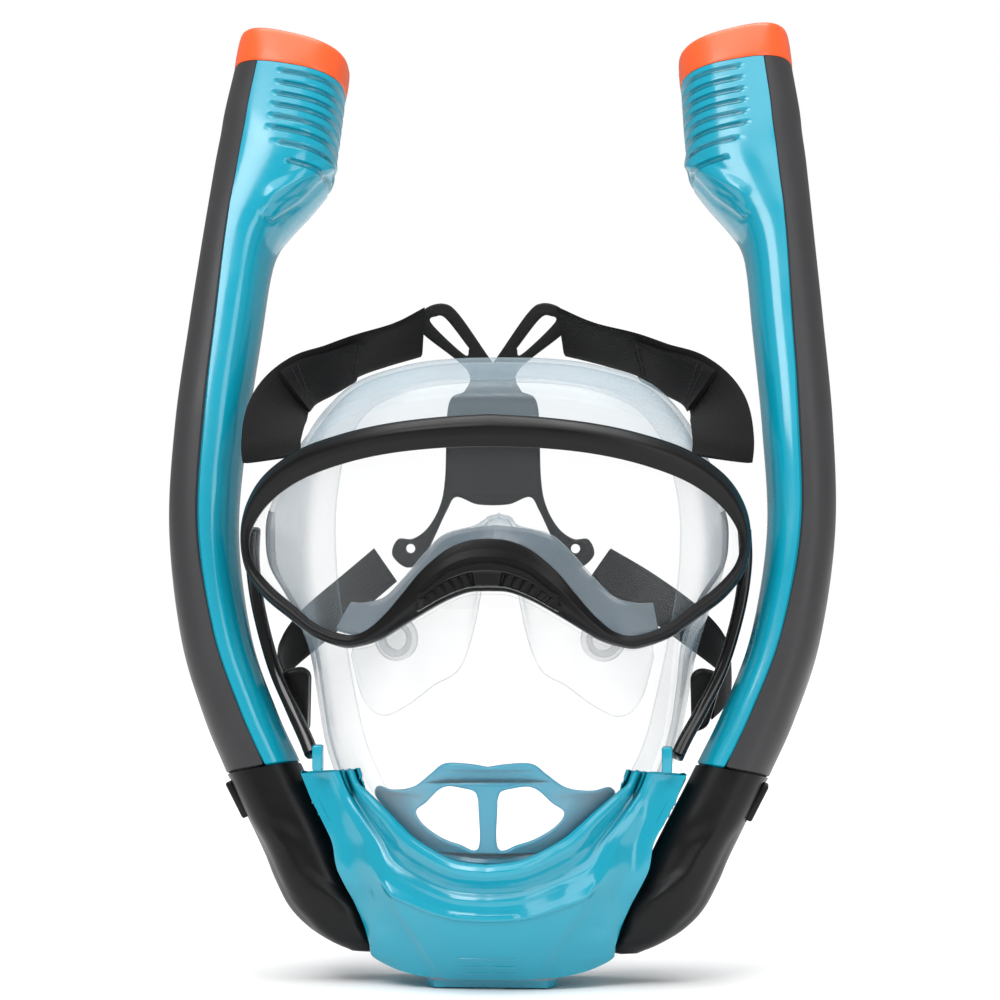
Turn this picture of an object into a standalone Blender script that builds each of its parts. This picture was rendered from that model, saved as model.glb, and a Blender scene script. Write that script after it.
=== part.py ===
"""Full-face mask with two snorkels. Metres, +Z up. It faces -Y and X = 0 is its plane of symmetry."""

import math

import bmesh
import bpy
import numpy as np
from mathutils import Matrix, Vector

# Overall sizes. The tables below are drawn in millimetres for the DRAWN sizes, and fitted to these.
MASK_WIDTH = 0.1656          # goggle frame, side to side
MASK_HEIGHT = 0.187          # top of the frame to the bottom of the chin
MASK_DEPTH = 0.056           # front of the frame to the plane of the face seal
SNORKEL_RISE = 0.2310        # elbow seam to the foot of the cap
DRAWN_WIDTH = 0.1656
DRAWN_HEIGHT = 0.187
DRAWN_DEPTH = 0.056

# Sizes that stand by themselves
GAP = 0.0003                 # between neighbouring pieces
SEAM_GAP = 0.0005            # between the two halves of a snorkel
FRAME_THICKNESS = 0.014      # front to back
DRAWN_FRAME_THICKNESS = 0.014    # the thickness the skirt and the struts were drawn behind
FRAME_LIP = 0.004            # depth of the lip in front of the lens
LENS_REBATE = 0.0016         # how far the lens runs under the frame
LENS_CLEARANCE = 0.0008      # round the lens edge
LENS_THICKNESS = 0.002
WINDOW_THICKNESS = 0.002
SKIRT_THICKNESS = 0.0016
POCKET_THICKNESS = 0.0014
CHIN_WALL = 0.0022
TUBE_WALL = 0.0020
RIB_DEPTH = 0.0012           # grooves on the snorkel heads
RIB_COUNT = 8
RIB_PITCH = 0.0040
CAP_HEIGHT = 0.0125
CAP_WEDGE = 4                # degrees the cap's top leans more than its foot
CAP_WALL = 0.0020
ELBOW_WALL = 0.0022
SPIGOT_WALL = 0.0018
SPIGOT_INSERT = 0.018        # length of the spigot in the elbow
SPIGOT_GRIP = 0.008          # length of the spigot in the tube
SPIGOT_CLEARANCE = 0.0016    # round the spigot, which holds its seal
CAGE_RADIUS = 0.0128
DRAWN_CAGE_RADIUS = 0.0128   # the cage the snorkel's rows were drawn round
CAGE_WALL = 0.0014
CAGE_HEIGHT = 0.019
FLOAT_CLEARANCE = 0.0016     # all round between the float and its cage
FLOAT_RADIUS = CAGE_RADIUS - CAGE_WALL - FLOAT_CLEARANCE
FLOAT_TRAVEL = 0.005
SEAT_THICKNESS = 0.0022
SEAT_HOLE = 0.0062
PORT_RADIUS = 0.0065
SLEEVE_WALL = 0.0012
LATCH_WIDTH = 0.012
LATCH_HEIGHT = 0.013
LATCH_THICKNESS = 0.0026
LATCH_PROUD = 0.0014
LATCH_BELOW_SEAM = 0.0028
STRUT_WIDTH = 0.0045
STRUT_DEPTH = 0.0065
HARNESS_THICKNESS = 0.0026
STRAP_THICKNESS = 0.0016
UPPER_STRAP_WIDTH = 0.020
LOWER_STRAP_WIDTH = 0.014
HARNESS_DRIFT = -0.007       # how far the slack harness hangs to one side
CHECK_RADIUS = 0.0062
CHECK_STANDOFF = 0.0032      # of the valve seat from the middle of the pocket's wall
DRAIN_RADIUS = 0.0085
DRAIN_PLATE = 0.0024
CLIP_HEIGHT = 0.0085
CHIN_ELBOW_GAP = 0.0009

SIDES = (("right", 1), ("left", -1))

# Goggle frame, half of it, from the top middle round to the bottom middle: outer x, z, inner x, z
FRAME_ROWS = (
    (0.0, 27.4, 0.0, 17.0), (16.4, 26.4, 15.5, 16.5), (33.2, 24.4, 32.0, 14.8),
    (48.0, 21.2, 47.0, 11.6), (62.6, 16.2, 61.0, 6.6), (74.2, 8.4, 71.0, 0.2),
    (80.6, -1.0, 77.2, -7.0), (82.8, -11.5, 79.4, -13.8), (81.0, -22.5, 77.6, -21.0),
    (75.0, -31.0, 71.4, -28.0), (66.0, -38.0, 63.4, -34.2), (57.5, -43.8, 56.0, -39.8),
    (47.3, -47.3, 46.6, -43.0), (40.5, -46.6, 40.0, -41.8), (34.8, -44.6, 33.6, -36.6),
    (29.3, -41.3, 28.0, -30.2), (22.0, -36.8, 21.6, -22.6), (13.8, -32.2, 13.8, -16.0),
    (6.4, -29.4, 6.6, -12.9), (0.0, -29.0, 0.0, -12.2),
)

# Snorkel, up from its seam: share of the rise, y, x, half width, half depth, tilt, lean, share of charcoal
TUBE_ROWS = (
    (0.000, -12.0, 77.0, 11.9, 15.2, -10, 6, 0.60), (0.075, -9.0, 85.1, 11.7, 15.4, -8, 8, 0.59),
    (0.182, -4.0, 93.8, 11.3, 15.5, -5, 10, 0.56), (0.332, 3.0, 99.0, 11.2, 15.5, 0, 12, 0.51),
    (0.482, 11.0, 97.9, 11.7, 15.5, 3, 15, 0.48), (0.632, 22.0, 94.6, 11.9, 15.5, 4, 18, 0.44),
    (0.718, 29.0, 92.6, 11.9, 15.7, 5, 19, 0.41), (0.760, 32.6, 90.9, 12.6, 16.0, 6, 20, 0.38),
    (0.790, 35.4, 88.3, 14.5, 16.5, 7, 20, 0.33), (0.829, 39.0, 84.2, 17.7, 17.0, 8, 20, 0.28),
    (0.865, 42.2, 81.0, 20.0, 17.3, 8, 20, 0.25), (0.900, 45.3, 79.9, 20.0, 17.5, 9, 20, 0.25),
    (0.936, 48.5, 79.0, 20.0, 17.5, 9, 20, 0.25), (1.000, 54.4, 77.2, 19.3, 17.5, 9, 20, 0.25),
)
SEAM_Z = -87.5

# Elbow, down from its seam: z, y, x, half width, half depth, tilt, lean
ELBOW_ROWS = (
    (-88.3, -12.14, 76.6, 11.9, 15.2, -10, 6), (-96.0, -13.4, 72.7, 11.9, 15.2, -10, 6),
    (-105.0, -14.9, 68.1, 12.0, 15.2, -10, 6), (-114.0, -16.4, 63.6, 12.1, 15.0, -10, 6),
    (-122.0, -17.6, 60.0, 12.3, 15.0, -9, 6), (-131.0, -19.0, 55.2, 12.2, 14.6, -8, 6),
    (-138.0, -20.0, 50.2, 10.6, 13.4, -6, 6), (-143.2, -20.6, 45.4, 7.6, 10.6, -4, 6),
    (-146.4, -21.0, 42.0, 4.2, 6.4, -2, 6),
)

# Chin, from the middle out to the arm's top: rim x, z, outer x, z, outer y, back x, y, z
CHIN_ROWS = (
    (0.0, -114.8, 0.0, -152.8, -42.0, 0.0, -2.0, -146.0),
    (11.1, -113.4, 12.6, -152.8, -41.5, 12.0, -2.0, -146.0),
    (21.9, -108.6, 25.0, -151.8, -39.0, 23.0, -2.0, -145.0),
    (27.6, -104.4, 35.6, -148.2, -33.0, 32.6, -2.0, -141.0),
    (33.2, -99.4, 39.6, -137.6, -32.0, 39.4, -2.0, -132.0),
    (38.4, -95.0, 47.0, -122.6, -32.0, 46.8, -3.0, -119.0),
    (42.6, -91.2, 55.0, -105.4, -31.5, 54.6, -5.0, -104.0),
    (44.4, -87.4, 62.2, -88.4, -30.0, 61.2, -7.0, -91.0),
)

# Face skirt, half of it, from the forehead round to under the chin: front, middle, crest, inner lip
SKIRT_ROWS = (
    ((0, -35.2, 22.8), (0, -22, 39), (0, -2, 47), (0, 7, 40)),
    ((16, -34.6, 22.2), (16, -21, 38.5), (16, -1.5, 46.6), (15, 7.5, 39.5)),
    ((32, -32.4, 20.4), (33, -18.5, 36), (32, 1, 44.5), (29, 9, 37.5)),
    ((47, -28.6, 17.2), (50, -13.5, 30.5), (49.5, 6, 38.5), (44, 14, 31.5)),
    ((60.0, -24.0, 12.0), (62.5, -8, 21.5), (60.5, 14, 26.5), (53, 20.5, 20.5)),
    ((70.0, -19.8, 4.6), (70.5, -1, 9), (66, 21, 10.5), (57, 27, 8)),
    ((74.6, -17.4, -4.0), (73, 3, -4), (68.5, 26, -5), (59, 31, -5)),
    ((75.6, -16.8, -12.5), (73.6, 5, -15), (69, 27.5, -19), (59, 32, -18)),
    ((74.0, -17.6, -22.0), (72.4, 4, -27), (67.5, 26, -32), (58, 31, -30)),
    ((67.0, -21.0, -33.0), (68, 1, -38.5), (65, 24, -44), (56, 29, -42)),
    ((61.6, -8.0, -46.5), (64.0, 5, -50), (62.6, 22, -55), (54, 26.5, -53)),
    ((59.6, -4.6, -62.0), (61.2, 5, -66), (60, 19, -70), (51, 23.5, -67)),
    ((57.2, -4.6, -77.0), (58.2, 4, -82), (56, 16, -86), (47, 20.5, -82)),
    ((52.0, -7.0, -92.5), (52, 1, -97), (48.5, 12, -101), (40.5, 16.5, -95.5)),
    ((42.0, -15.0, -107.0), (42, -5, -112), (39.0, 8, -115.5), (33, 12.5, -109)),
    ((30.0, -22.5, -119.0), (30, -12, -124), (27.5, 5, -127), (23, 9, -119.5)),
    ((15.0, -26.6, -127.0), (15, -16, -132), (13.5, 3.5, -133.5), (11.5, 7.5, -125.5)),
    ((0, -28.0, -130), (0, -18, -135), (0, 3, -136), (0, 7, -128)),
)

# Nose pocket, half of it, from the middle out: front edge, upper fold, lower edge, each x, y, z
POCKET_ROWS = (
    ((0, -33.0, -17.5), (0, -17.0, -7.2), (0, -4.0, -4.2)),
    ((6.0, -32.6, -18.4), (5.8, -16.0, -8.0), (5.4, -3.0, -8.5)),
    ((12.0, -31.8, -21.5), (11.4, -12.0, -9.6), (7.4, -1.0, -33.0)),
    ((18.5, -30.6, -26.6), (17.8, -8.0, -12.4), (12.6, -0.5, -54.0)),
    ((25.0, -28.8, -33.6), (24.0, -5.0, -18.0), (22.0, 0.5, -61.0)),
    ((32.0, -26.4, -40.0), (30.6, -2.4, -25.6), (30.4, 3.0, -67.4)),
    ((40.0, -22.6, -43.4), (37.6, 1.0, -32.8), (39.0, 5.0, -71.2)),
    ((47.4, -18.6, -42.6), (44.6, 5.0, -34.8), (45.6, 7.4, -66.4)),
    ((52.6, -13.6, -41.6), (49.8, 9.0, -34.2), (49.8, 9.8, -52.0)),
)

# Mouth support, half of its outline and one of its two openings: x, z
SUPPORT_OUTLINE = (
    (0.0, -84.4), (5.0, -83.6), (11.4, -83.2), (15.0, -84.0), (18.6, -87.0), (24.5, -91.4),
    (32.0, -93.0), (37.4, -92.4), (39.0, -96.0), (33.6, -101.6), (27.6, -107.0), (21.8, -111.0),
    (15.0, -113.8), (7.5, -115.4), (0.0, -115.8),
)
SUPPORT_OPENING = (
    (3.1, -95.0), (4.2, -92.4), (7.6, -91.4), (12.6, -90.8), (16.0, -92.2), (20.0, -96.2),
    (23.6, -99.4), (21.4, -103.4), (15.4, -107.2), (9.4, -109.2), (3.1, -110.2),
)

# Rear harness: half of the outline, the waist cut, the slot in a loop and the hole in a tab: x, z
HARNESS_Y = 58.0
HARNESS_OUTLINE = (
    (0.0, 47.5), (2.2, 50.5), (12.0, 64.5), (17.0, 68.0), (23.0, 66.6), (26.0, 62.0), (24.2, 57.4),
    (9.0, 45.0), (9.6, 38.0), (15.4, 33.0), (16.6, 8.0), (18.4, -2.0), (22.6, -9.6), (27.8, -13.4),
    (33.0, -13.6), (35.0, -19.0), (30.0, -23.4), (24.4, -21.0), (20.6, -13.4), (16.0, -3.6),
    (12.8, 1.0), (6.0, -1.4), (0.0, -1.9),
)
HARNESS_SLOT = ((8.2, 52.4), (16.2, 62.6), (19.8, 63.6), (21.4, 61.2), (10.0, 50.4))
HARNESS_TAB = (28.6, -16.8)
TAB_HOLE = 0.0016

# Routes of the ribbons and struts: x, y, z of the middle and x, y, z of the direction of the width
UPPER_STRAP = (
    ((73.5, -17.4, 13.4), (0.93, 0.05, -0.36)), ((73.9, -14.0, 20.4), (0.93, -0.10, -0.20)),
    ((72.3, -5.5, 29.8), (0.85, -0.46, 0.05)), ((66.3, 6.0, 38.4), (0.50, -0.74, 0.40)),
    ((57.6, 18.0, 43.4), (0.28, -0.82, 0.48)), ((47.5, 31.0, 48.8), (0.18, -0.86, 0.46)),
    ((36.0, 43.0, 53.2), (0.12, -0.84, 0.52)), ((24.0, 53.0, 58.0), (0.10, -0.68, 0.70)),
)
LOWER_STRAP = (
    ((69.4, 6.6, -66.5), (0.0, -0.35, 0.93)), ((74.0, 16.0, -62.0), (0.0, -0.35, 0.93)),
    ((75.5, 30.0, -54.5), (0.0, -0.30, 0.94)), ((66.0, 43.0, -44.0), (0.25, -0.10, 0.94)),
    ((50.0, 51.5, -31.5), (0.45, 0.0, 0.88)), ((37.0, 54.4, -22.4), (0.50, 0.0, 0.86)),
)
BEVELLED_SQUARE = (
    (0.5, -0.3), (0.5, 0.3), (0.3, 0.5), (-0.3, 0.5), (-0.5, 0.3), (-0.5, -0.3), (-0.3, -0.5), (0.3, -0.5),
)
STRUT_ROUTE = (
    (80.6, -9.6, -9.0), (80.9, -9.2, -21.0), (78.8, -9.8, -36.0), (73.6, -12.6, -54.0),
    (67.0, -17.6, -67.5), (61.8, -22.6, -77.0), (59.0, -25.6, -82.8),
)


def mm(value):
    """Millimetres to metres."""
    return value * 0.001


def across(value):
    """A drawn x, fitted to the mask's width."""
    return mm(value) * MASK_WIDTH / DRAWN_WIDTH


def upward(value):
    """A drawn z, fitted to the mask's height."""
    return mm(value) * MASK_HEIGHT / DRAWN_HEIGHT


def backward(value):
    """A drawn y, fitted to the mask's depth."""
    return mm(value) * MASK_DEPTH / DRAWN_DEPTH


def place(x, y, z):
    """A drawn point, fitted to the mask's sizes."""
    return Vector((across(x), backward(y), upward(z)))


def spline(rows, count):
    """count rows read evenly from a smooth curve through the given rows of numbers."""
    table = np.array(rows, float)
    table = np.vstack([2 * table[0] - table[1], table, 2 * table[-1] - table[-2]])
    spans = len(rows) - 1
    result = []
    for position in np.linspace(0, spans, count):
        k = min(int(position), spans - 1)
        t = position - k
        a, b, c, d = table[k:k + 4]
        value = b + 0.5 * t * (c - a + t * (2 * a - 5 * b + 4 * c - d + t * (3 * (b - c) + d - a)))
        result.append(value)
    return result


def spline_at(rows, key):
    """The smooth row whose first number is key."""
    table = np.array(spline(rows, 12 * len(rows)))
    order = np.argsort(table[:, 0])
    table = table[order]
    return np.array([np.interp(key, table[:, 0], table[:, k]) for k in range(table.shape[1])])


def material(name, colour, roughness, metallic=0.0, transmission=0.0):
    """A plain material of that colour and finish."""
    made = bpy.data.materials.new(name)
    made.use_nodes = True
    shader = made.node_tree.nodes["Principled BSDF"]
    shader.inputs["Base Color"].default_value = (*colour, 1.0)
    shader.inputs["Roughness"].default_value = roughness
    shader.inputs["Metallic"].default_value = metallic
    shader.inputs["Transmission Weight"].default_value = transmission
    made.diffuse_color = (*colour, 1.0)
    return made


FINISHES = {
    "teal": ((0.010, 0.420, 0.600), 0.18, 0.0, 0.0),
    "teal_clear": ((0.020, 0.450, 0.600), 0.15, 0.0, 0.6),
    "orange": ((0.870, 0.160, 0.040), 0.35, 0.0, 0.0),
    "charcoal": ((0.060, 0.060, 0.062), 0.45, 0.0, 0.0),
    "black": ((0.010, 0.010, 0.011), 0.38, 0.0, 0.0),
    "black_rubber": ((0.014, 0.014, 0.015), 0.60, 0.0, 0.0),
    "webbing": ((0.012, 0.012, 0.013), 0.85, 0.0, 0.0),
    "clear": ((0.900, 0.930, 0.950), 0.05, 0.0, 0.95),
    "silicone": ((0.780, 0.820, 0.850), 0.35, 0.0, 0.80),
    "milky": ((0.800, 0.820, 0.840), 0.45, 0.0, 0.50),
    "seal": ((0.500, 0.520, 0.540), 0.55, 0.0, 0.0),
    "float": ((0.750, 0.750, 0.740), 0.40, 0.0, 0.0),
}


def new_object(name, mesh, finish, home):
    """A named object of that mesh in a collection, with a material of its own."""
    made = bpy.data.objects.new(name, mesh)
    home.objects.link(made)
    if finish:
        colour, roughness, metallic, transmission = FINISHES[finish]
        mesh.materials.clear()
        mesh.materials.append(material(name + "_finish", colour, roughness, metallic, transmission))
    return made


def mesh_of(name, points, faces):
    """A mesh of those points and faces, facing outward."""
    mesh = bpy.data.meshes.new(name)
    mesh.from_pydata([tuple(p) for p in points], [], faces)
    shape = bmesh.new()
    shape.from_mesh(mesh)
    bmesh.ops.recalc_face_normals(shape, faces=shape.faces)
    shape.to_mesh(mesh)
    shape.free()
    return mesh


def grid_faces(rows, columns, wrap_rows=False, wrap_columns=False):
    """Quads of a grid of points, joined end to end where it wraps."""
    faces = []
    for i in range(rows if wrap_rows else rows - 1):
        for j in range(columns if wrap_columns else columns - 1):
            a = i * columns + j
            b = i * columns + (j + 1) % columns
            c = (i + 1) % rows * columns + (j + 1) % columns
            d = (i + 1) % rows * columns + j
            faces.append((a, b, c, d))
    return faces


def open_surface(name, grid, finish, home, wrap_rows=False, wrap_columns=False, cap_last=False):
    """An open surface through a grid of points, for Solidify to thicken."""
    columns = len(grid[0])
    points = [p for row in grid for p in row]
    faces = grid_faces(len(grid), columns, wrap_rows, wrap_columns)
    if cap_last:
        faces.append(tuple(range((len(grid) - 1) * columns, len(grid) * columns)))
    return new_object(name, mesh_of(name, points, faces), finish, home)


def thick_surface(name, outer, inner, finish, home):
    """A closed solid between two grids of points of the same shape."""
    rows, columns = len(outer), len(outer[0])
    points = [p for grid in (outer, inner) for row in grid for p in row]
    shift = rows * columns
    faces = grid_faces(rows, columns)
    faces += [tuple(k + shift for k in reversed(face)) for face in faces]
    for i in range(rows - 1):
        for j in (0, columns - 1):
            a, b = i * columns + j, (i + 1) * columns + j
            faces.append((a, b, b + shift, a + shift))
    for j in range(columns - 1):
        for i in (0, rows - 1):
            a, b = i * columns + j, i * columns + j + 1
            faces.append((a, b, b + shift, a + shift))
    return new_object(name, mesh_of(name, points, faces), finish, home)


def aim_normals(made, inside):
    """Turns an open surface so that its faces look away from a point inside it."""
    mesh = made.data
    total = sum((f.center - inside(f.center)).dot(f.normal) * f.area for f in mesh.polygons)
    if total < 0:
        mesh.flip_normals()


def solidify(made, thickness, offset=-1.0):
    """Thickens an open surface, inward when offset is -1."""
    shell = made.modifiers.new("wall", "SOLIDIFY")
    shell.thickness = thickness
    shell.offset = offset
    shell.use_even_offset = True
    shell.use_quality_normals = True
    return made


def solid_loft(name, rings, finish, home):
    """A closed solid through rings of points, with its two ends filled."""
    columns = len(rings[0])
    points = [p for ring in rings for p in ring]
    faces = grid_faces(len(rings), columns, wrap_columns=True)
    faces.append(tuple(range(columns)))
    faces.append(tuple(range((len(rings) - 1) * columns, len(rings) * columns)))
    return new_object(name, mesh_of(name, points, faces), finish, home)


def ring_solid(name, sections, finish, home):
    """A closed loop of sections, such as a frame."""
    columns = len(sections[0])
    points = [p for section in sections for p in section]
    faces = grid_faces(len(sections), columns, wrap_rows=True, wrap_columns=True)
    return new_object(name, mesh_of(name, points, faces), finish, home)


def turned(name, profile, finish, home, steps=24):
    """A turned piece about its own Z from a closed profile of radius and height."""
    mesh = bpy.data.meshes.new(name)
    points = [(r, 0.0, h) for r, h in profile]
    edges = [(k, (k + 1) % len(points)) for k in range(len(points))]
    mesh.from_pydata(points, edges, [])
    made = new_object(name, mesh, finish, home)
    screw = made.modifiers.new("turn", "SCREW")
    screw.steps = steps
    screw.render_steps = steps
    screw.use_merge_vertices = True
    screw.merge_threshold = 0.00005
    return made


def plate(name, outlines, thickness, finish, home):
    """A flat plate with holes, drawn in X and Z, its middle at y = 0, as a mesh."""
    curve = bpy.data.curves.new(name, "CURVE")
    curve.dimensions = "2D"
    curve.fill_mode = "BOTH"
    curve.extrude = thickness / 2
    for outline in outlines:
        line = curve.splines.new("POLY")
        line.points.add(len(outline) - 1)
        for point, (x, z) in zip(line.points, outline):
            point.co = (x, z, 0.0, 1.0)
        line.use_cyclic_u = True
    drawn = bpy.data.objects.new(name + "_drawn", curve)
    home.objects.link(drawn)
    bpy.context.view_layer.update()
    ready = drawn.evaluated_get(bpy.context.evaluated_depsgraph_get())
    mesh = bpy.data.meshes.new_from_object(ready)
    bpy.data.objects.remove(drawn)
    shape = bmesh.new()
    shape.from_mesh(mesh)
    bmesh.ops.remove_doubles(shape, verts=shape.verts, dist=0.00002)
    bmesh.ops.rotate(shape, verts=shape.verts, matrix=Matrix.Rotation(math.pi / 2, 3, "X"))
    bmesh.ops.recalc_face_normals(shape, faces=shape.faces)
    shape.to_mesh(mesh)
    shape.free()
    return new_object(name, mesh, finish, home)


def cut(made, cutter):
    """Takes the cutter out of a piece."""
    hole = made.modifiers.new("cut_" + cutter.name, "BOOLEAN")
    hole.operation = "DIFFERENCE"
    hole.solver = "EXACT"
    hole.object = cutter
    cutter.hide_render = True
    cutter.display_type = "WIRE"


def along(start, end):
    """A matrix that puts local Z along start to end, with its origin at start."""
    turn = (end - start).to_track_quat("Z", "Y").to_matrix().to_4x4()
    return Matrix.Translation(start) @ turn


def mirrored(point, side):
    return Vector((point[0] * side, point[1], point[2]))


# Shapes that several pieces share


def visor_y(x):
    """Drawn y of the frame's front at a drawn x."""
    return -50.0 + 22.0 * min(abs(x) / 82.8, 1.05) ** 2.2


def frame_loop(half_count):
    """Outer and inner drawn points round the whole frame, from the top middle."""
    half = spline(FRAME_ROWS, half_count)
    rows = [tuple(r) for r in half]
    rows += [(-r[0], r[1], -r[2], r[3]) for r in half[-2:0:-1]]
    return rows


def frame_point(x, z, depth):
    """A point of the frame's outline, that far behind the frame's front."""
    point = place(x, visor_y(x), z)
    point.y += depth
    return point


def lower_edge_of_frame(x):
    """Drawn z of the frame's lower outline at a drawn x."""
    rows = [r for r in spline(FRAME_ROWS, 120) if r[1] < -16 and r[0] <= 81.5]
    rows.sort(key=lambda r: r[0])
    return float(np.interp(abs(x), [r[0] for r in rows], [r[1] for r in rows]))


def window_edge(z):
    """Drawn half width of the lower window at a drawn z."""
    return float(np.interp(-z, (45, 62, 77, 92, 107, 120), (60, 58.4, 56.4, 51.6, 42.8, 33.0)))


def window_y(x, z):
    """Drawn y of the lower window's front face."""
    middle = float(np.interp(-z, (25, 40, 60, 85, 118), (-46, -49.5, -53, -54.5, -52)))
    share = min(abs(x) / window_edge(z), 1.0)
    return middle + (-9.0 - middle) * share ** 2.6


def elbow_inner(z):
    """World x of the elbow's innermost line at a world z."""
    found = []
    for row in ELBOW_ROWS:
        tilt = math.radians(row[5])
        reach = mm(row[3])
        found.append((upward(row[0]) - reach * math.sin(tilt), across(row[2]) - reach * math.cos(tilt)))
    found.sort()
    return float(np.interp(z, [f[0] for f in found], [f[1] for f in found]))


def chin_rim(x):
    """Drawn z of the chin's front rim at a drawn x."""
    return float(np.interp(abs(x), [r[0] for r in CHIN_ROWS], [r[1] for r in CHIN_ROWS]))


def section(centre, half_width, half_depth, tilt, lean, angles, side, power=2.6):
    """Points of a rounded section. Angle 0 is outward, 90 is forward, 180 is inward."""
    outward = Vector((math.cos(math.radians(tilt)), 0.0, math.sin(math.radians(tilt))))
    forward = Vector((0.0, -math.cos(math.radians(lean)), math.sin(math.radians(lean))))
    points = []
    for angle in angles:
        c, s = math.cos(angle), math.sin(angle)
        u = math.copysign(abs(c) ** (2 / power), c) * half_width
        v = math.copysign(abs(s) ** (2 / power), s) * half_depth
        points.append(mirrored(centre + outward * u + forward * v, side))
    return points


def tube_row(share):
    """Centre, half width, half depth, tilt, lean and charcoal share of a snorkel at a share of its rise."""
    row = spline_at(TUBE_ROWS, share)
    centre = Vector((across(row[2]), backward(row[1]), upward(SEAM_Z) + share * SNORKEL_RISE))
    room = (CAGE_RADIUS - DRAWN_CAGE_RADIUS) * min(max((share - 0.74) / 0.05, 0.0), 1.0)
    return centre, mm(row[3]) + room, mm(row[4]) + room, row[5], row[6], row[7]


def head_axis():
    """The snorkel head's axis, from its middle up."""
    low = tube_row(0.88)[0]
    high = tube_row(1.0)[0]
    return low, high


def head_direction():
    low, high = head_axis()
    return (high - low).normalized()


def socket_direction():
    """The way a snorkel slides out of its elbow."""
    top = place(ELBOW_ROWS[0][2], ELBOW_ROWS[0][1], ELBOW_ROWS[0][0])
    low = place(ELBOW_ROWS[2][2], ELBOW_ROWS[2][1], ELBOW_ROWS[2][0])
    return (top - low).normalized()


def split_angles(share):
    """Angles of the two seams between teal and charcoal, front and back, for a share of charcoal."""
    found = []
    for part in (share, min(share + 0.12, 0.62)):
        level = 1 - 2 * part
        found.append(math.acos(math.copysign(abs(level) ** 1.3, level)))
    return found


def elbow_centre(row):
    return Vector((across(row[2]), backward(row[1]), upward(row[0])))


# Pieces


def goggle_frame(home):
    sections = []
    for xo, zo, xi, zi in frame_loop(28):
        out = frame_point(xo, zo, 0)
        inn = frame_point(xi, zi, 0)
        step = (out - inn)
        flat = Vector((step.x, 0, step.z)).normalized() * LENS_REBATE
        crest = out.lerp(inn, 0.32)
        crest.y = min(out.y, inn.y)
        back = FRAME_THICKNESS
        sections.append((
            out + Vector((0, 0.0032, 0)), crest, inn + Vector((0, 0.0012, 0)),
            inn + Vector((0, FRAME_LIP, 0)), inn + flat + Vector((0, FRAME_LIP, 0)),
            inn + flat + Vector((0, back, 0)), out + Vector((0, back, 0)),
        ))
    return ring_solid("goggle_frame", sections, "black", home)


def eye_lens(home):
    rows = frame_loop(28)[:28]
    edge = []
    for xo, zo, xi, zi in rows:
        out = frame_point(xo, zo, 0)
        inn = frame_point(xi, zi, 0)
        flat = Vector((out.x - inn.x, 0, out.z - inn.z)).normalized()
        edge.append(inn + flat * (LENS_REBATE - LENS_CLEARANCE))
    turn = max(range(len(edge)), key=lambda k: edge[k].x)
    top, low = edge[:turn + 1], edge[turn:][::-1]
    widest = edge[turn].x
    shares = [math.sin(k / 15 * math.pi / 2 * 0.93) for k in range(16)]
    grid = []
    for share in [-s for s in shares[:0:-1]] + shares:
        x = abs(share) * widest
        high = float(np.interp(x, [p.x for p in top], [p.z for p in top]))
        deep = float(np.interp(x, [p.x for p in low], [p.z for p in low]))
        y = backward(visor_y(x / across(1.0))) + FRAME_LIP + LENS_CLEARANCE
        grid.append([Vector((math.copysign(x, share), y, high + (deep - high) * k / 3)) for k in range(4)])
    made = open_surface("eye_lens", grid, "clear", home)
    aim_normals(made, lambda c: Vector((0, 0.05, c.z)))
    return solidify(made, LENS_THICKNESS)


def nose_bridge(home):
    """A trim on the frame's nose arch with six slanted ribs a side."""
    shape = []
    half = []
    for x in (0.0, 4.5, 9.0, 13.6, 18.0, 22.4):
        xo = min(x, 22.0)
        low = lower_edge_of_frame(xo) + 1.4
        high = float(np.interp(xo, (0, 6.5, 13.8, 21.6), (-19.4, -20.2, -23.0, -29.6)))
        half.append((x, high, low))
    for x, high, low in [(-a, b, c) for a, b, c in half[:0:-1]] + half:
        shape.append((x, high, low))
    rings = []
    for x, high, low in shape:
        front = frame_point(x, 0, 0).y - GAP
        rings.append((
            Vector((across(x), front, upward(high))), Vector((across(x), front - 0.0022, upward(high - 1.4))),
            Vector((across(x), front - 0.0022, upward(low + 1.0))), Vector((across(x), front, upward(low))),
        ))
    made = solid_loft("nose_bridge", rings, "black", home)
    cutters = bpy.data.collections["cutters"]
    for number, x in enumerate((5.6, 8.9, 12.2, 15.5, 18.8)):
        for side_name, side in SIDES:
            bmesh_box = bmesh.new()
            bmesh.ops.create_cube(bmesh_box, size=1.0)
            mesh = bpy.data.meshes.new("rib_cutter")
            bmesh_box.to_mesh(mesh)
            bmesh_box.free()
            cutter = new_object("rib_cutter_" + side_name + str(number), mesh, None, cutters)
            z = float(np.interp(x, (0, 22), (-25.6, -35.4)))
            spot = Vector((across(x) * side, frame_point(x, 0, 0).y - GAP - 0.0024, upward(z)))
            turn = Matrix.Rotation(math.radians(24 * side), 4, "Y")
            size = Matrix.Diagonal((0.0014, 0.0018, 0.0074, 1))
            cutter.matrix_world = Matrix.Translation(spot) @ turn @ size
            cut(made, cutter)
    return made


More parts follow.
